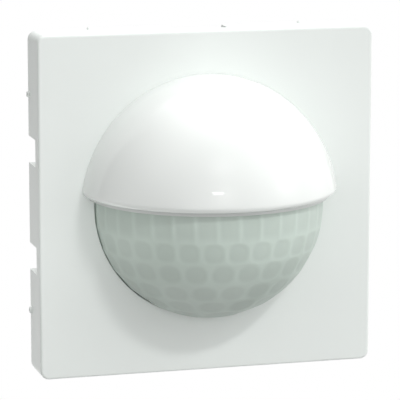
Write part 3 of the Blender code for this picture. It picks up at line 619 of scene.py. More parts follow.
# Rows of lens cells, from the top: lowest and highest elevation, pitch and shift in azimuth, how
# square the cells are and how much of the pitch they fill. The first three are in degrees, and the
# shift is in pitches.
LENS_ROWS = (
    (-10.5, 12.0, 10.85, 0.5, 6.0, 0.94),
    (-21.5, -10.4, 12.4, -0.04, 2.7, 0.93),
    (-33.7, -22.0, 14.6, 0.46, 2.4, 0.93),
    (-46.7, -35.1, 18.3, 0.0, 2.4, 0.92),
    (-59.3, -47.3, 25.0, 0.5, 2.4, 0.92),
    (-72.8, -59.7, 45.0, 0.0, 2.4, 0.92),
)
WEB_START, WEB_STEP = 0.64, 0.50


def web_share(azimuth, elevation):
    """1 on the webs between the lens cells, 0 inside a cell, with a soft step at its edge."""
    share = 1.0
    for low, high, pitch, shift, squareness, fill in LENS_ROWS:
        along = (elevation - (low + high) / 2) / ((high - low) / 2)
        turn = azimuth / pitch - shift
        across = (turn - round(turn)) / (0.5 * fill)
        size = (abs(along) ** squareness + abs(across) ** squareness) ** (1.0 / squareness)
        step = min(max((size - WEB_START) / WEB_STEP, 0.0), 1.0)
        share = min(share, step * step * (3.0 - 2.0 * step))
    return share


def lens():
    """The lens: cells sunk slightly between raised webs, with a skirt and a clamped flange."""
    cell_depth, across, down = 0.12, 300, 160
    top_z = LENS_HIGH.z
    top = math.degrees(math.asin(top_z / LENS_RADIUS))
    mesh = bmesh.new()
    web = mesh.verts.layers.float.new("web")

    def point(x, y, z, share=1.0):
        vert = mesh.verts.new((x * MM, y * MM, z * MM))
        vert[web] = share
        return vert

    grid = []
    for row in range(down):
        elevation = top - (top + 90.0) * row / down
        line = []
        for column in range(across + 1):
            azimuth = -90.0 + 180.0 * column / across
            share = web_share(azimuth, elevation)
            at = direction(azimuth, elevation) * (LENS_RADIUS - cell_depth * (1.0 - share))
            line.append(point(at.x, FRONT_Y + at.y, min(at.z, top_z), share))
        grid.append(line)
    pole = point(0.0, FRONT_Y, -LENS_RADIUS)
    for upper, lower in zip(grid, grid[1:]):
        for column in range(across):
            mesh.faces.new((upper[column], lower[column], lower[column + 1], upper[column + 1]))
    for column in range(across):
        mesh.faces.new((grid[-1][column], pole, grid[-1][column + 1]))

    edge = [line[-1] for line in grid] + [pole] + [line[0] for line in grid[::-1]]
    flange_y = FLANGE_BACK_Y - 0.2
    rings = ((LENS_RADIUS, flange_y - 0.3), (LENS_RADIUS + 0.1, flange_y - 0.05))
    rings += ((LENS_RADIUS + 0.35, flange_y), (LENS_FLANGE_RADIUS, flange_y))
    last = edge
    for radius, y in rings:
        ring = []
        for vert in edge:
            z = min(math.sin(math.atan2(vert.co.z, vert.co.x)) * radius, top_z)
            x = math.copysign(math.sqrt(radius * radius - z * z), vert.co.x)
            ring.append(point(0.0 if vert is pole else x, y, z))
        for index in range(len(edge) - 1):
            mesh.faces.new((last[index], last[index + 1], ring[index + 1], ring[index]))
        last = ring
    bmesh.ops.recalc_face_normals(mesh, faces=mesh.faces[:])
    dome = object_from("lens_dome", mesh)
    if dome.data.polygons[0].normal.y > 0.0:
        dome.data.flip_normals()
    wall = dome.modifiers.new("wall", "SOLIDIFY")
    wall.thickness = LENS_WALL * MM
    wall.offset = -1.0
    settle(dome)
    finish_piece(smooth(dome, 40.0, False), "lens_grey", "lens")


def panel_floor():
    """The half disc under the control panel, whose round edge shows below the hood's lip."""
    low_z, high_z, round_edge = 1.53, 2.92, 0.2
    inner = PANEL_RIM_RADIUS - round_edge
    profile = [(0.0, high_z), (inner, high_z), (PANEL_RIM_RADIUS, high_z - round_edge)]
    profile += [(PANEL_RIM_RADIUS, low_z + round_edge), (PANEL_RIM_RADIUS - 0.06, low_z + 0.06)]
    profile += [(inner, low_z), (0.0, low_z)]
    behind = ((-FAR, FLANGE_BACK_Y - 0.5, -FAR), (FAR, FAR, FAR))
    return cut(to_dome(turned("cutter", profile, FINE_STEPS)), box_cutter(behind))


def control_dome():
    """The upper inner dome, cut flat for the control panel, with its flange."""
    wall, flange_front_y, rim, edge = 1.4, PLATE_BACK_Y + GAP, 28.0, 0.7
    inner = PANEL_DOME_RADIUS - wall
    face_depth = FRONT_Y - PANEL_FACE_Y
    face_angle = math.degrees(math.asin((face_depth - edge * 0.45) / PANEL_DOME_RADIUS))
    back_angle = math.degrees(math.asin((face_depth - PANEL_WALL) / inner))
    corner = arc(PANEL_DOME_RADIUS, face_angle, 0.0, 40, (0.0, -FRONT_Y))
    profile = [(0.0, -PANEL_FACE_Y), (corner[0][0] - edge, -PANEL_FACE_Y)]
    profile += [(corner[0][0] - edge * 0.4, -PANEL_FACE_Y - 0.06)] + corner
    profile += [(PANEL_DOME_RADIUS, -flange_front_y), (rim, -flange_front_y)]
    profile += [(rim, -FLANGE_BACK_Y), (inner, -FLANGE_BACK_Y)]
    profile += arc(inner, 0.0, back_angle, 24, (0.0, -FRONT_Y)) + [(0.0, -PANEL_BACK_Y)]
    dome = face_forward(turned("control_dome_shell", profile, FINE_STEPS))
    lowest_z = node_box("control_dome")[0].z
    cut(dome, box_cutter(((-FAR, -FAR, -FAR), (FAR, FAR, lowest_z))))
    join(dome, panel_floor())
    open_panel(dome)
    finish_piece(smooth(dome, 35.0), "inner_white", "control_dome")


def open_panel(dome):
    """Adds the posts that hold the board, and cuts the panel's holes for the controls."""
    through = (PANEL_FACE_Y - OVER, PANEL_BACK_Y + 0.6)
    slider_reach, slider_half, round_end = 1.3 + SLIDER_TRAVEL + 0.25, 0.95, 0.35
    join(dome, rods(POST_PLACES, 1.4, PANEL_FACE_Y + 0.6, CONTROL_BOARD_Y - GAP, 40))
    dial_places = [(step * DIAL_PITCH, DIAL_Z) for _, step in DIALS]
    slot = block(SLIDER_X, SWITCH_ROW_Z, slider_reach, slider_half, *through)
    cut(
        dome,
        rods(POST_PLACES, 0.75, PANEL_BACK_Y + 1.0, CONTROL_BOARD_Y, 24),
        rods(dial_places, DIAL_RADIUS + 0.25, *through, 72),
        rods(dial_places, DIAL_RADIUS + 0.5, through[0], PANEL_FACE_Y + 0.2, 72),
        rods([(BUTTON_X, SWITCH_ROW_Z)], BUTTON_RADIUS + 0.22, *through, 48),
        bevelled_box("cutter", *slot, (round_end, 5)),
    )


# The pieces under the hood.


def panel_scales():
    """Raised ticks round the dials, plus and minus marks, and dots over the slider."""
    front, back = PANEL_FACE_Y - 0.12, PANEL_FACE_Y + 0.1
    tick_low, tick_high, long_half, short_half = 4.05, 4.75, 0.16, 0.09
    sign_x, sign_z, sign_long, sign_thin = 3.75, -4.48, 0.4, 0.12
    mesh = bmesh.new()
    for _, step in DIALS:
        centre = Matrix.Translation(Vector((step * DIAL_PITCH, 0.0, DIAL_Z)) * MM)
        for tick in range(11):
            half = short_half if tick % 5 else long_half
            turn = centre @ about_y(-135.0 + 27.0 * tick)
            add_box(mesh, (-half, front, tick_low), (half, back, tick_high), turn)
        for side in (-1, 1):
            add_box(mesh, *block(side * sign_x, sign_z, sign_long, sign_thin, front, back), centre)
        add_box(mesh, *block(sign_x, sign_z, sign_thin, sign_long, front, back), centre)
    marks = object_from("panel_scales", mesh)
    dots = [(SLIDER_X + SLIDER_TRAVEL * step, 14.75) for step in (-1, 0, 1)]
    finish_piece(join(marks, rods(dots, 0.18, front, back, 20)), "dial_grey")


def clamp_ring():
    """The ring behind the flanges, with a chamfered bore and a row of relief pockets."""
    front, back = node_depths("clamp_ring")
    outer, bore, edge, chamfer = 29.0, 21.5, 0.2, 0.4
    profile = [(outer - edge, -front), (outer, -front - edge), (outer, -back + edge)]
    profile += [(outer - edge, -back), (bore + chamfer, -back), (bore, -back + chamfer)]
    profile += [(bore, -front - edge), (bore + edge, -front)]
    ring = face_forward(turned("clamp_ring_moulding", profile, FINE_STEPS, closed=True))
    pockets = arc(25.4, 7.5, 352.5, 24)
    cut(ring, rods(pockets, 1.7, back - 0.7, back + OVER, 32))
    finish_piece(smooth(ring), "inner_white", "clamp_ring")


def control_dial(name, step):
    """A fluted dial with a screwdriver slot and a pointer dimple at the slot's upper end."""
    flutes, flute_depth, edge, pin = 30, 0.11, 0.35, 1.0

    def fluted(radius, height, turn):
        if height < 0.0 or radius < DIAL_RADIUS - 0.5:
            return radius
        return radius - flute_depth * (0.5 + 0.5 * math.cos(2 * math.pi * flutes * turn))

    profile = [(0.0, DIAL_PROUD - 0.12), (2.2, DIAL_PROUD - 0.12), (2.5, DIAL_PROUD)]
    profile += arc(edge, 90.0, 0.0, 6, (DIAL_RADIUS - edge, DIAL_PROUD - edge))
    profile += [(DIAL_RADIUS, 0.15), (DIAL_RADIUS, 0.0), (DIAL_RADIUS, -COLLAR_FRONT)]
    profile += [(DIAL_RADIUS + 0.6, -COLLAR_FRONT), (DIAL_RADIUS + 0.7, -COLLAR_FRONT - 0.1)]
    profile += [(DIAL_RADIUS + 0.7, -COLLAR_BACK), (pin, -COLLAR_BACK), (pin, -COLLAR_BACK - 1.6)]
    profile += [(pin - 0.2, -COLLAR_BACK - 1.8), (0.0, -COLLAR_BACK - 1.8)]
    x = step * DIAL_PITCH
    dial = turned(name + "_dial_knob", profile, flutes * 8, radius_at=fluted)
    face_forward(dial, x, PANEL_FACE_Y, DIAL_Z)
    top_y = PANEL_FACE_Y - DIAL_PROUD
    slot = block(x, DIAL_Z, 0.45, 2.4, top_y - OVER, top_y + 0.8)
    dimple = rods([(x, DIAL_Z + 2.85)], 0.2, top_y - OVER, top_y + 0.25, 24)
    cut(dial, bevelled_box("cutter", *slot, (0.3, 5)), dimple)
    finish_piece(smooth(dial, 28.0), "dial_grey", name + "_dial", body=name + "_dial")


def potentiometer(name, step):
    """A trimmer body with a round rotor recess."""
    x, half, front = step * DIAL_PITCH, 3.3, PANEL_BACK_Y + 1.2
    trimmer = block(x, DIAL_Z, half, half, front, CONTROL_BOARD_Y - GAP)
    body = rounded_box(name + "_trimmer", *trimmer, 0.3, 4)
    bore = rods([(x, DIAL_Z)], 1.3, front - OVER, front + 1.9, 36)
    recess = rods([(x, DIAL_Z)], 2.6, front - OVER, front + 0.25, 56)
    finish_piece(smooth(cut(body, bore, recess)), "black_plastic", name + "_potentiometer")


def mode_slider():
    """The knob with grip ridges, its carriage behind the panel and the tongue of the switch."""
    front, carriage_y, place = PANEL_FACE_Y - 1.0, PANEL_BACK_Y + GAP, (SLIDER_X, SWITCH_ROW_Z)
    knob = rounded_box("mode_slider_knob", *block(*place, 1.3, 0.7, front, carriage_y + 0.4), 0.12, 4)
    grooves = [
        block(SLIDER_X + 0.42 * step, SWITCH_ROW_Z, 0.13, 2.0, front - OVER, front + 0.25)
        for step in range(-2, 3)
    ]
    cut(knob, box_cutter(*grooves))
    carriage = rounded_box("cutter", *block(*place, 2.2, 0.9, carriage_y, carriage_y + 0.8), 0.1)
    tongue = rounded_box("cutter", *block(*place, 0.6, 0.4, carriage_y + 0.4, carriage_y + 2.0), 0.1)
    join(knob, carriage, tongue)
    finish_piece(smooth(knob), "dial_grey", "mode_slider", body="mode_slider")


def mode_switch():
    """The switch body behind the slider, with a groove for the tongue and a seam at each end."""
    front, place = PANEL_BACK_Y + 1.6, (SLIDER_X, SWITCH_ROW_Z)
    body = rounded_box("mode_switch_body", *block(*place, 4.4, 1.6, front, CONTROL_BOARD_Y - GAP))
    groove = box_cutter(block(*place, 2.7, 0.7, front - OVER, front + 1.1))
    seams = [
        block(SLIDER_X + side * 3.6, SWITCH_ROW_Z, 0.1, 2.0, front - OVER, front + 0.2)
        for side in (-1, 1)
    ]
    finish_piece(smooth(cut(body, groove, box_cutter(*seams))), "black_plastic", "mode_switch")


def test_button():
    """A push button with a dished, softly rounded top."""
    dish_depth, dish_radius, edge, pin = 0.22, 1.15, 0.3, 0.9
    profile = [
        (radius, BUTTON_PROUD - dish_depth * (1 - (radius / dish_radius) ** 2))
        for radius in (0.0, 0.3, 0.6, 0.9, dish_radius)
    ]
    profile += arc(edge, 90.0, 0.0, 7, (BUTTON_RADIUS - edge, BUTTON_PROUD - edge))
    profile += [(BUTTON_RADIUS, -COLLAR_FRONT), (BUTTON_RADIUS + 0.6, -COLLAR_FRONT)]
    profile += [(BUTTON_RADIUS + 0.6, -COLLAR_BACK), (pin, -COLLAR_BACK), (pin, -COLLAR_BACK - 1.15)]
    profile += [(pin - 0.15, -COLLAR_BACK - 1.3), (0.0, -COLLAR_BACK - 1.3)]
    button = turned("test_button_cap", profile)
    face_forward(button, BUTTON_X, PANEL_FACE_Y, SWITCH_ROW_Z)
    finish_piece(smooth(button), "button_blue", "test_button", body="test_button")


def test_switch():
    low, high = node_box("test_switch")
    inset = 0.5
    rivets = [(x, z) for x in (low.x + inset, high.x - inset) for z in (low.z + inset, high.z - inset)]
    body = cut(
        rounded_box("test_switch_body", low, high, 0.15),
        rods(rivets, 0.22, low.y - OVER, low.y + 0.12, 20),
    )
    finish_piece(smooth(body), "black_plastic", "test_switch")


# Half sizes of a small chip that lies across or stands upright on its board.
CHIP_ACROSS, CHIP_UPRIGHT = (0.7, 0.4), (0.4, 0.7)


def chips(name, face_y, out, places):
    """Small parts soldered on a board's face; out is -1 on its front, 1 on its back."""
    sunk, body_height, end_height, end_length = 0.05, 0.55, 0.58, 0.3
    bodies, ends = [], []
    for x, z, half_x, half_z in places:
        depths = sorted((face_y - out * sunk, face_y + out * body_height))
        bodies.append(block(x, z, half_x, half_z, *depths))
        depths = sorted((face_y - out * sunk, face_y + out * end_height))
        half = end_length / 2
        for side in (-1, 1):
            if half_x > half_z:
                ends.append(block(x + side * (half_x + half), z, half, half_z, *depths))
            else:
                ends.append(block(x, z + side * (half_z + half), half_x, half, *depths))
    finish_piece(solid_boxes(name + "_chips", bodies, 0.05), "black_plastic")
    finish_piece(solid_boxes(name + "_solder", ends, 0.08), "steel")


def control_board():
    """The half-round board behind the panel, with the holes for its screws."""
    radius, lower_z = 19.6, 3.6
    low_angle = math.degrees(math.asin(lower_z / radius))
    outline = arc(radius, low_angle, 180.0 - low_angle, 90)
    rings = [[(x, y, z) for x, z in outline] for y in (CONTROL_BOARD_Y, CONTROL_BOARD_BACK_Y)]
    board = loft("control_board_laminate", rings)
    cut(board, rods(POST_PLACES, 0.9, CONTROL_BOARD_Y - OVER, CONTROL_BOARD_BACK_Y + OVER, 32))
    finish_piece(smooth(board), "board_green", "control_board")
    places = [(x, z, *CHIP_ACROSS) for x, z in ((-11.0, 12.5), (-8.2, 12.5), (-9.0, 5.4), (9.0, 5.4))]
    places += [(8.6, 12.8, *CHIP_UPRIGHT), (0.0, 7.6, 1.5, 1.0)]
    chips("control_board", CONTROL_BOARD_BACK_Y, 1, places)


def screw(name, place, seat_y, head, shank):
    """A pan-head screw driven towards the front: ringed thread, cross recess, domed head.

    head is its radius and height, and shank its radius and length."""
    head_radius, head_height = head
    shank_radius, length = shank
    pitch, core = shank_radius * 0.62, shank_radius * 0.76
    profile = [(0.0, length), (core * 0.4, length), (core, length - core)]
    height = length - core
    while height > pitch * 1.5:
        profile += [(core, height), (shank_radius, height - pitch * 0.45)]
        profile += [(shank_radius, height - pitch * 0.55)]
        height -= pitch
    profile += [(core, height), (core, 0.0), (head_radius - 0.1, 0.0), (head_radius, -0.1)]
    dome = ((1.0, 0.45), (0.94, 0.75), (0.78, 0.94), (0.5, 1.0), (0.0, 1.0))
    profile += [(head_radius * across, -head_height * up) for across, up in dome]
    x, z = place
    fastener = face_forward(turned(name + "_fastener", profile, 56), x, seat_y, z)
    back = seat_y + head_height
    reach, width = head_radius * 0.6, head_radius * 0.12
    for half_x, half_z in ((width, reach), (reach, width)):
        cut(fastener, box_cutter(block(x, z, half_x, half_z, back - head_height * 0.6, back + OVER)))
    finish_piece(smooth(fastener), "steel", name)


# The pieces behind the plate.


def detector_carrier():
    """The black wedge that turns the detectors outwards, with a pocket in each end."""
    low, high = node_box("detector_carrier")
    tip = 0.9
    outline = [(-high.x, high.y), (high.x, high.y), (tip, low.y), (-tip, low.y)]
    wedge = loft("detector_wedge", [[(x, y, z) for x, y in outline] for z in (low.z, high.z)])
    mesh = bmesh.new()
    mesh.from_mesh(wedge.data)
    bevel_edges(mesh, mesh.edges[:], 0.25, 3)
    mesh.to_mesh(wedge.data)
    mesh.free()
    half, depth, front, back = 1.2, 1.2, high.y - 4.0, high.y - 1.0
    pockets = [
        ((-half, front, high.z - depth), (half, back, high.z + OVER)),
        ((-half, front, low.z - OVER), (half, back, low.z + depth)),
    ]
    finish_piece(smooth(cut(wedge, box_cutter(*pockets))), "black_plastic", "detector_carrier")


def detector(side_name, side):
    """A metal can with a rolled foot and a window recess, and its filter window."""
    place = (side * 6.3, -7.5, -7.0, side * math.pi / 4)
    radius, foot_radius, height, foot, edge = 4.15, 4.6, 4.2, 0.8, 0.45
    profile = [(0.0, height), (radius - 0.5, height)]
    profile += arc(edge, 80.0, 0.0, 8, (radius - edge, height - edge))
    profile += [(radius, foot + 0.15), (radius + 0.12, foot)]
    profile += arc(0.3, 90.0, 0.0, 6, (foot_radius - 0.3, foot - 0.3))
    profile += [(foot_radius, 0.15), (foot_radius - 0.15, 0.0), (0.0, 0.0)]
    can = turned("detector_can_" + side_name, profile, 96)
    low, high = (-2.2, -1.8, height - 0.7), (2.2, 1.8, height + OVER)
    cut(can, bevelled_box("cutter", low, high, (0.3, 5), axis=2))
    finish_piece(smooth(face_forward(can, *place)), "steel", "detector_" + side_name)
    low, high = (-2.0, -1.6, height - 0.4), (2.0, 1.6, height + 0.05)
    window = rounded_box("detector_filter_" + side_name, low, high, 0.1)
    face_forward(window, *place)
    finish_piece(smooth(window), "detector_window", "detector_window_" + side_name)


def node_middle(node):
    """A CAD node's middle, as (x, z)."""
    low, high = node_box(node)
    return (low.x + high.x) / 2, (low.z + high.z) / 2


def status_led():
    """A round-headed indicator with a flat on its rim."""
    x, z = node_middle("status_led")
    back, shoulder, radius, rim = node_depths("status_led")[1], 3.8, 1.5, 1.9
    profile = [(0.0, shoulder + radius)] + arc(radius, 90.0, 0.0, 20, (0.0, shoulder))[1:]
    profile += [(radius, 1.05), (rim - 0.1, 1.0), (rim, 0.9), (rim, 0.1), (rim - 0.1, 0.0), (0.0, 0.0)]
    led = face_forward(turned("status_led_lamp", profile), x, back, z)
    cut(led, box_cutter(((x + 1.65, back - 1.2, z - 3.0), (x + 3.0, back + OVER, z + 3.0))))
    finish_piece(smooth(led), "led_red", "status_led")


def light_sensor():
    """A small block with a round lens on its front."""
    low, high = node_box("light_sensor")
    x, z = node_middle("light_sensor")
    lens_height, lens_curve, sunk = 0.6, 1.25, 0.4
    front = low.y + lens_height
    body = rounded_box("light_sensor_body", (low.x, front, low.z), high)
    profile = [(0.0, lens_height)] + arc(lens_curve, 65.0, 28.0, 12, (0.0, -0.53))
    profile += [(1.1, -sunk), (0.0, -sunk)]
    join(body, face_forward(turned("cutter", profile, 48), x, front, z))
    finish_piece(smooth(body), "detector_window", "light_sensor")


def link_cable():
    """The flat cable between the boards, ribbed along its ten wires."""
    low, high = node_box("link_cable")
    start, end, sag, steps = Vector((low.y, 13.0)), Vector((high.y, 12.0)), 3.2, 48
    path = []
    for step in range(steps + 1):
        share = step / steps
        point = start.lerp(end, share)
        path.append((0.0, point.x, point.y - sag * math.sin(math.pi * share) ** 2))
    half_width, wires, samples, web, ridge = 4.0, 10, 80, 0.1, 0.14
    section = []
    for side in (1, -1):
        for step in range(samples + 1):
            across = side * half_width * (2 * step / samples - 1)
            wave = abs(math.sin(math.pi * wires * step / samples))
            section.append((across, side * (web + ridge * wave)))
    cable = sweep("link_cable_ribbon", path, (1.0, 0.0, 0.0), section)
    finish_piece(smooth(cable, 50.0, False), "cable_white", "link_cable")


def link_socket(node, open_side):
    """A cable socket with a lead-in on its open face and a grip step at each end."""
    low, high = node_box(node)
    face = low.y if open_side < 0 else high.y
    slot_depth, grip_depth = (
        sorted((face + open_side * OVER, face - open_side * depth)) for depth in (1.0, 0.35)
    )
    x, z = node_middle(node)
    body = rounded_box(node + "_shell", low, high, 0.15)
    slot = box_cutter(block(x, z, high.x - x - 0.9, 0.4, *slot_depth))
    grips = [block(end, low.z, 0.5, 0.7, *grip_depth) for end in (low.x, high.x)]
    finish_piece(smooth(cut(body, slot, box_cutter(*grips))), "black_plastic", node)


def flat_board(node):
    """A rectangular circuit board with rounded corners."""
    low, high = node_box(node)
    board = bevelled_box(node + "_laminate", low, high, (0.8, 6), ((low.y, high.y), 0.06, 1))
    holes = [(x, z) for x in (-16.4, 16.4) for z in (-15.0, 15.0)]
    cut(board, rods(holes, 0.5, low.y - OVER, high.y + OVER, 24))
    finish_piece(smooth(board), "board_green", node)


def board_parts():
    """The small parts on both faces of the two flat boards."""
    across = ((-13.0, 5.0), (-10.2, 5.0), (0.0, 4.0), (-13.4, -8.0), (13.4, -8.0))
    across += ((12.5, -15.5), (-12.5, -15.5))
    places = [(x, z, *CHIP_ACROSS) for x, z in across]
    places += [(11.0, 4.6, 1.6, 2.2), (14.6, 4.4, *CHIP_UPRIGHT)]
    chips("sensor_board", SENSOR_BOARD_Y, -1, places)
    across = ((3.0, 7.0), (6.2, 7.0), (-9.0, -4.0), (-5.6, -4.0))
    places = [(x, z, *CHIP_ACROSS) for x, z in across]
    places += [(3.0, 3.0, *CHIP_UPRIGHT), (9.5, 3.0, 1.5, 1.9)]
    chips("main_board_front", MAIN_BOARD_Y, -1, places)
    places = [(-14.0, -2.0, *CHIP_UPRIGHT), (-12.5, -10.0, 1.6, 1.2), (13.5, -1.0, 0.7, 1.2)]
    places += [(0.0, -11.5, 2.2, 1.4), (6.0, -11.5, *CHIP_ACROSS), (0.0, 10.0, 1.2, 0.9)]
    chips("main_board_back", MAIN_BOARD_BACK_Y, 1, places)


def board_connector():
    """The stacking header between the boards, with a groove between each two pins."""
    low, high = node_box("board_connector")
    pins, groove_half, groove_depth = 10, 0.15, 0.3
    pitch = (high.x - low.x) / pins
    reach = (OVER + groove_depth) / 2
    grooves = []
    for step in range(1, pins):
        for z in (low.z + groove_depth - reach, high.z - groove_depth + reach):
            front, back = low.y - OVER, high.y + OVER
            grooves.append(block(low.x + pitch * step, z, groove_half, reach, front, back))
    body = cut(rounded_box("board_header", low, high, 0.15), box_cutter(*grooves))
    finish_piece(smooth(body), "black_plastic", "board_connector")


def microcontroller():
    """A square flat package with a pin-one dimple, and its bent legs."""
    low, high = node_box("microcontroller")
    x, z = node_middle("microcontroller")
    mark = rods([(low.x + 1.2, high.z - 1.2)], 0.4, low.y - OVER, low.y + 0.1, 32)
    body = cut(rounded_box("microcontroller_body", low, high, 0.18), mark)
    finish_piece(smooth(body), "black_plastic", "microcontroller")
    half, knee_y, foot_y = high.x - x, high.y - 0.75, MAIN_BOARD_Y - 0.02
    pitch, leg_half, thick, knee, foot = 0.7, 0.15, 0.15, half + 0.5, half + 0.95
    legs = []
    for step in range(-5, 6):
        first, last = pitch * step - leg_half, pitch * step + leg_half
        legs.append(((half - 0.2, knee_y, first), (knee, knee_y + thick, last)))
        legs.append(((knee - thick, knee_y, first), (knee, foot_y, last)))
        legs.append(((knee - thick, foot_y - thick, first), (foot, foot_y, last)))
    middle = Matrix.Translation(Vector((x, 0.0, z)) * MM)
    turns = [middle @ about_y(90.0 * side) for side in range(4)]
    finish_piece(solid_boxes("microcontroller_legs", legs, turns=turns), "steel")


def capacitor():
    """An electrolytic capacitor on its side: shrunk sleeve, crimp groove and scored end."""
    low, high = node_box("capacitor")
    middle = (low + high) / 2
    radius, half, edge, recess = (high.z - low.z) / 2, (high.x - low.x) / 2, 0.3, 0.12
    crimp, end_radius, score_half, score_reach = 0.22, radius - 0.55, 0.07, 1.1
    lay_down = Matrix.Translation(middle * MM) @ about_y(90.0)
    profile = [(0.0, half - recess), (radius - 0.5, half - recess), (radius - 0.5, half)]
    profile += arc(edge, 90.0, 0.0, 8, (radius - edge, half - edge))
    profile += [(radius, 1.9 - half), (radius - crimp, 1.6 - half), (radius - crimp, 1.3 - half)]
    profile += [(radius, 1.05 - half)] + arc(edge, 0.0, -90.0, 8, (radius - edge, edge - half))
    profile += [(radius - 0.6, -half), (radius - 0.6, 0.15 - half), (0.0, 0.15 - half)]
    sleeve = turned("capacitor_sleeve_tube", profile, 72)
    sleeve.data.transform(lay_down)
    finish_piece(smooth(sleeve), "capacitor_sleeve", "capacitor")
    top, bottom = half - 0.04, half - 0.2
    profile = [(0.0, top), (end_radius, top), (end_radius, bottom), (0.0, bottom)]
    end = turned("capacitor_end", profile, 48)
    end.data.transform(lay_down)
    for half_y, half_z in ((score_half, score_reach), (score_reach, score_half)):
        score_low = (high.x - 0.08, middle.y - half_y, middle.z - half_z)
        cut(end, box_cutter((score_low, (high.x + OVER, middle.y + half_y, middle.z + half_z))))
    finish_piece(smooth(end), "steel")


def choke():
    """A bobbin on the board's back and the wire wound in its waist."""
    x, z = node_middle("choke")
    front, radius, waist, edge = node_depths("choke")[0], 3.2, 2.2, 0.15
    waist_front, waist_back = 1.0, 3.0
    profile = [(0.0, 0.0), (radius - edge, 0.0), (radius, -edge), (radius, edge - waist_front)]
    profile += [(radius - edge, -waist_front), (waist, -1.1), (waist, -2.9)]
    profile += [(radius - edge, -waist_back), (radius, -waist_back - edge), (radius, -3.85)]
    profile += [(radius - edge, -4.0), (0.9, -4.0), (0.8, -3.6), (0.0, -3.6)]
    bobbin = face_forward(turned("choke_bobbin", profile, 72), x, front, z)
    finish_piece(smooth(bobbin), "grey_plastic", "choke")
    turns, wire, core = 9, 0.2, waist - 0.05
    rings = [(core, -1.08)]
    for step in range(turns):
        rings += arc(wire / 2, 80.0, -80.0, 6, (waist + 0.62, -1.22 - wire * step))
    rings += [(core, -1.29 - wire * (turns - 1))]
    winding = turned("choke_winding", rings, 72, closed=True)
    face_forward(winding, x, front, z)
    finish_piece(smooth(winding, 70.0), "gold_contact", material="copper")


def rear_housing():
    """The tray: screw flange with gussets, corner posts, plug opening, and grooves on its back."""
    half, wall, flange = HOUSING_HALF, 1.6, HOUSING_HIGH.x
    inner = half - wall
    front, back = HOUSING_LOW.y, HOUSING_HIGH.y
    flange_back, floor_y = front + 1.5, back - wall
    low, high = (-half, front + 0.2, -half), (half, back, half)
    housing = bevelled_box("rear_housing_tray", low, high, (1.2, 6), ((back,), 0.8, 5))
    low, high = (-flange, front, -flange), (flange, flange_back, flange)
    plate = bevelled_box("cutter", low, high, (2.0, 8), ((front, flange_back), 0.15, 2))

    gusset_middle, gusset_reach, gusset_half = half + 1.45, 1.75, 0.5
    gussets = []
    for side in (-1, 1):
        for at in (-16.0, 16.0):
            out, depths = side * gusset_middle, (flange_back - 0.3, flange_back + 2.4)
            gussets.append(block(at, out, gusset_half, gusset_reach, *depths))
            gussets.append(block(out, at, gusset_reach, gusset_half, *depths))
    join(housing, plate, box_cutter(*gussets))
    low, high = (-inner, front - OVER, -inner), (inner, floor_y, inner)
    cut(housing, bevelled_box("cutter", low, high, (0.6, 4), ((floor_y,), 0.3, 3)))

    reach = inner + 0.4
    low_depths = (MAIN_BOARD_BACK_Y + GAP, floor_y + 0.4)
    tall_depths = (SENSOR_BOARD_BACK_Y + GAP, MAIN_BOARD_BACK_Y + 2.0)
    low_posts, tall_posts = (17.0, 13.5, reach, low_depths), (17.1, 17.0, reach - 0.05, tall_depths)
    for x_from, z_from, out, depths in (low_posts, tall_posts):
        half_x, half_z = (out - x_from) / 2, (out - z_from) / 2
        posts = [
            block(side * (out - half_x), end * (out - half_z), half_x, half_z, *depths)
            for side in (-1, 1) for end in (-1, 1)
        ]
        join(housing, box_cutter(*posts))

    hole = block(0.0, 0.0, PLUG_HIGH.x + 0.25, PLUG_HIGH.z + 0.25, floor_y - OVER, back + OVER)
    grooves = [
        block(side * x, end * 13.0, 0.5, 4.0, back - 0.5, back + OVER)
        for side in (-1, 1) for x in (10.0, 12.5, 15.0) for end in (-1, 1)
    ]
    cut(
        housing,
        bevelled_box("cutter", *hole, (0.4, 4)),
        rods(SCREW_PLACES, 1.5, front - OVER, flange_back + OVER, 40),
        rods(SCREW_PLACES, 2.75, flange_back - 0.15, flange_back + 4.0),
        box_cutter(*grooves),
    )
    finish_piece(smooth(housing), "grey_plastic", "rear_housing")


def plug_connector():
    """The shrouded rear plug with its keyway and a rounded mouth."""
    wall_x, wall_z, mouth = 1.2, 1.3, PLUG_HIGH.y + OVER
    body = rounded_box("plug_shroud", PLUG_LOW, PLUG_HIGH, 0.35, 5)
    half_x, half_z = PLUG_HIGH.x - wall_x, PLUG_HIGH.z - wall_z
    cavity = block(0.0, 0.0, half_x, half_z, MAIN_BOARD_BACK_Y + 2.3, mouth)
    keyway = box_cutter(((-2.2, HOUSING_HIGH.y - 2.0, 2.0), (2.2, mouth, PLUG_HIGH.z + OVER)))
    cut(body, bevelled_box("cutter", *cavity, (0.4, 4)), keyway)
    finish_piece(smooth(body), "black_plastic", "plug_connector")


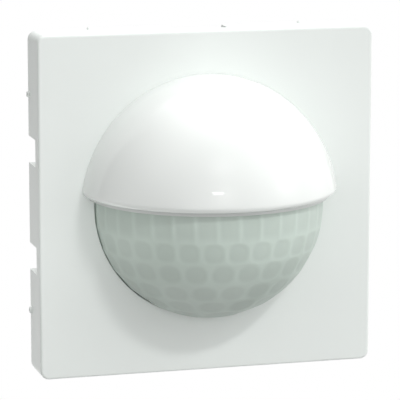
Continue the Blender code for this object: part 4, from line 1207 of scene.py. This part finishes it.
def contact_row(name, z):
    """Five square pins with pyramid tips, on the strip that they are stamped from."""
    low, high = node_box(name)
    pin_half, tip_length, tip_share = 0.32, 0.5, 0.4
    comb = ((low.x, low.y, z - 0.4), (high.x, low.y + 0.8, z + 0.4))
    mesh = bmesh.new()
    for step in range(-2, 3):
        pin = block(step * CONTACT_PITCH, z, pin_half, pin_half, low.y + 0.4, high.y - tip_length)
        verts = add_box(mesh, *pin)
        ends = [face for face in mesh.faces if all(vert in verts for vert in face.verts)]
        tip = max(ends, key=lambda face: face.calc_center_median().y)
        grown = bmesh.ops.extrude_discrete_faces(mesh, faces=[tip])["faces"][0]
        middle = grown.calc_center_median()
        for vert in grown.verts:
            narrow = middle + (vert.co - middle) * tip_share
            vert.co = narrow + Vector((0.0, tip_length * MM, 0.0))
    bmesh.ops.recalc_face_normals(mesh, faces=mesh.faces[:])
    strip = join(rounded_box(name + "_comb", *comb, 0.05), object_from("cutter", mesh))
    finish_piece(smooth(strip), "gold_contact", name)


def spring_clip(side_name, side):
    """A bowed spring strip with a pressed stiffening rib and rounded edges."""
    half_width, half, edge, rib = 4.0, 0.25, 0.1, 0.18
    wall = HOUSING_HALF + GAP + half
    bow = [(0.0, -2.2), (0.0, -0.4), (0.0, 1.4), (0.5, 3.0), (1.7, 5.2)]
    bow += [(2.1, 6.4), (1.6, 7.6), (0.9, 9.0), (0.2, 10.4)]
    path = [(side * (wall + out), y, 0.0) for out, y in bow]
    outer = [(-half_width, edge - half), (edge - half_width, -half), (-0.9, -half)]
    outer += [(-0.5, -half - rib), (0.5, -half - rib), (0.9, -half)]
    outer += [(half_width - edge, -half), (half_width, edge - half)]
    inner = [(half_width, half - edge), (half_width - edge, half), (0.9, half), (0.5, half - rib)]
    inner += [(-0.5, half - rib), (-0.9, half), (edge - half_width, half), (-half_width, half - edge)]
    section = [(across, out * -side) for across, out in outer + inner]
    clip = sweep("spring_clip_strip_" + side_name, through_points(path, 8), (0.0, 0.0, 1.0), section)
    finish_piece(smooth(clip, 40.0, False), "steel", "spring_clip_" + side_name)


def make_pieces():
    cover_plate()
    hood()
    lens()
    control_dome()
    panel_scales()
    clamp_ring()
    for name, step in DIALS:
        control_dial(name, step)
        potentiometer(name, step)
    mode_slider()
    mode_switch()
    test_button()
    test_switch()
    control_board()
    for (side_name, side), place in zip(SIDES, POST_PLACES):
        screw("board_screw_" + side_name, place, CONTROL_BOARD_BACK_Y + GAP, (1.5, 1.0), (0.6, 3.6))
    detector_carrier()
    for side_name, side in SIDES:
        detector(side_name, side)
        spring_clip(side_name, side)
    status_led()
    light_sensor()
    link_cable()
    link_socket("link_socket_front", 1)
    link_socket("link_socket_rear", -1)
    flat_board("sensor_board")
    flat_board("main_board")
    board_parts()
    board_connector()
    microcontroller()
    capacitor()
    choke()
    rear_housing()
    for number, place in enumerate(SCREW_PLACES, start=1):
        screw("housing_screw_%d" % number, place, HOUSING_LOW.y + 1.8, (2.4, 1.5), (1.2, 5.6))
    plug_connector()
    contact_row("contact_row_upper", CONTACT_PITCH / 2)
    contact_row("contact_row_lower", -CONTACT_PITCH / 2)


# The stage. Soft boxes and the floor are measured in metres, and glow lamps in millimetres.


def point_at(obj, target, location):
    obj.location = location
    obj.rotation_mode = "QUATERNION"
    obj.rotation_quaternion = (target - location).to_track_quat("-Z", "Y")


def camera():
    data = bpy.data.cameras.new("camera")
    data.lens = 230.5
    data.sensor_width = 36.0
    data.clip_start, data.clip_end = 0.01, 20.0
    obj = add_object("camera", data)
    target = Vector((-1.65, FRONT_Y, 0.49)) * MM
    point_at(obj, target, target + direction(-15.5, 10.34) * 527.7 * MM)
    bpy.context.scene.camera = obj


def lamp(name, kind, power, mirrored=False):
    """A lamp that the camera doesn't see; glossy plastic mirrors it only if it is mirrored."""
    data = bpy.data.lights.new(name, kind)
    data.energy = power
    obj = add_object(name, data)
    obj.visible_camera = False
    obj.visible_glossy = mirrored
    return obj


def soft_box(name, azimuth, elevation, distance, width, height, brightness, mirrored=False):
    """A rectangular lamp that looks at the dome; brightness is that of its face."""
    obj = lamp(name, "AREA", brightness * math.pi * width * height, mirrored)
    obj.data.shape = "RECTANGLE"
    obj.data.size, obj.data.size_y = width, height
    middle = Vector((0.0, FRONT_Y * MM, 0.0))
    point_at(obj, middle, middle + direction(azimuth, elevation) * distance)


def glow_lamp(name, angle, distance, depth, power):
    """A tiny lamp beside the dome, at an angle from the top; it makes the glow on the plate."""
    obj = lamp(name, "POINT", power)
    obj.data.shadow_soft_size = 4.0 * MM
    turn = math.radians(angle)
    place = (distance * math.sin(turn), FRONT_Y - depth, distance * math.cos(turn))
    obj.location = Vector(place) * MM


# The studio's soft lights: azimuth and elevation in degrees, sharpness, and brightness in the
# middle. A light of sharpness 60 is about 17 degrees across to half its brightness, and 10 about 42.
STUDIO_LIGHTS = (
    (0, 15, 60, 1.419),
    (0, 40, 60, 1.484),
    (60, 15, 60, 1.567),
    (0, 90, 10, 2.153),
    (180, 50, 10, 2.241),
    (150, 0, 10, 1.453),
    (-150, -35, 10, 2.538),
    (100, 0, 10, 1.184),
    (60, 0, 10, 0.494),
    (60, 35, 10, 1.080),
    (60, -35, 10, 0.521),
    (-20, 0, 10, 1.203),
    (-60, 35, 10, 0.568),
)
ROOM_BRIGHTNESS = 0.088
ROOM_COLOUR = (1.0, 1.0, 0.94)
WHITE = (1.0, 1.0, 1.0)


def background(tree, colour, strength):
    node = tree.nodes.new("ShaderNodeBackground")
    node.inputs["Color"].default_value = (*colour, 1.0)
    if isinstance(strength, float):
        node.inputs["Strength"].default_value = strength
    else:
        tree.links.new(strength, node.inputs["Strength"])
    return node.outputs["Background"]


def world():
    """A white studio: an even room with soft round lights, and plain white behind the object."""
    made = bpy.data.worlds.new("studio")
    made.use_nodes = True
    bpy.context.scene.world = made
    tree = made.node_tree
    tree.nodes.clear()
    where = tree.nodes.new("ShaderNodeTexCoord").outputs["Generated"]
    level = 0.0
    for azimuth, elevation, sharpness, brightness in STUDIO_LIGHTS:
        along = tree.nodes.new("ShaderNodeVectorMath")
        along.operation = "DOT_PRODUCT"
        along.inputs[1].default_value = direction(azimuth, elevation)
        tree.links.new(where, along.inputs[0])
        facing = maths(tree, "MAXIMUM", along.outputs["Value"], 0.0)
        lobe = maths(tree, "POWER", facing, sharpness)
        level = maths(tree, "ADD", level, maths(tree, "MULTIPLY", lobe, brightness))
    lighting = tree.nodes.new("ShaderNodeAddShader")
    tree.links.new(background(tree, WHITE, level), lighting.inputs[0])
    tree.links.new(background(tree, ROOM_COLOUR, ROOM_BRIGHTNESS), lighting.inputs[1])
    chosen = tree.nodes.new("ShaderNodeMixShader")
    seen = tree.nodes.new("ShaderNodeLightPath").outputs["Is Camera Ray"]
    tree.links.new(seen, chosen.inputs["Fac"])
    tree.links.new(lighting.outputs["Shader"], chosen.inputs[1])
    tree.links.new(background(tree, WHITE, 1.0), chosen.inputs[2])
    out = tree.nodes.new("ShaderNodeOutputWorld")
    tree.links.new(chosen.outputs["Shader"], out.inputs["Surface"])


def floor():
    """A plain pale floor, well below the wall that the object would hang on."""
    mesh = bmesh.new()
    bmesh.ops.create_circle(mesh, cap_ends=True, segments=96, radius=0.6)
    obj = object_from("floor", mesh)
    obj.location = (0.0, 0.0, -0.95)
    material, _, shader, _ = node_material("floor_paint")
    shader.inputs["Base Color"].default_value = (0.85, 0.85, 0.85, 1.0)
    shader.inputs["Roughness"].default_value = 0.8
    obj.data.materials.append(material)


def stage():
    camera()
    world()
    floor()
    soft_box("strip_light", -6.6, 17.6, 1.2, 0.20, 0.047, 9.0, mirrored=True)
    soft_box("key_light", 16.0, 39.5, 1.2, 0.20, 0.07, 60.3)
    soft_box("fill_light", 60.0, 38.0, 1.2, 0.30, 0.30, 4.08)
    glow_lamp("glow_left", -100.0, 38.0, 20.0, 0.0019)
    glow_lamp("glow_top", 0.0, 33.0, 10.0, 0.0002)
    bpy.context.scene.view_settings.view_transform = "Standard"


make_pieces()
stage()
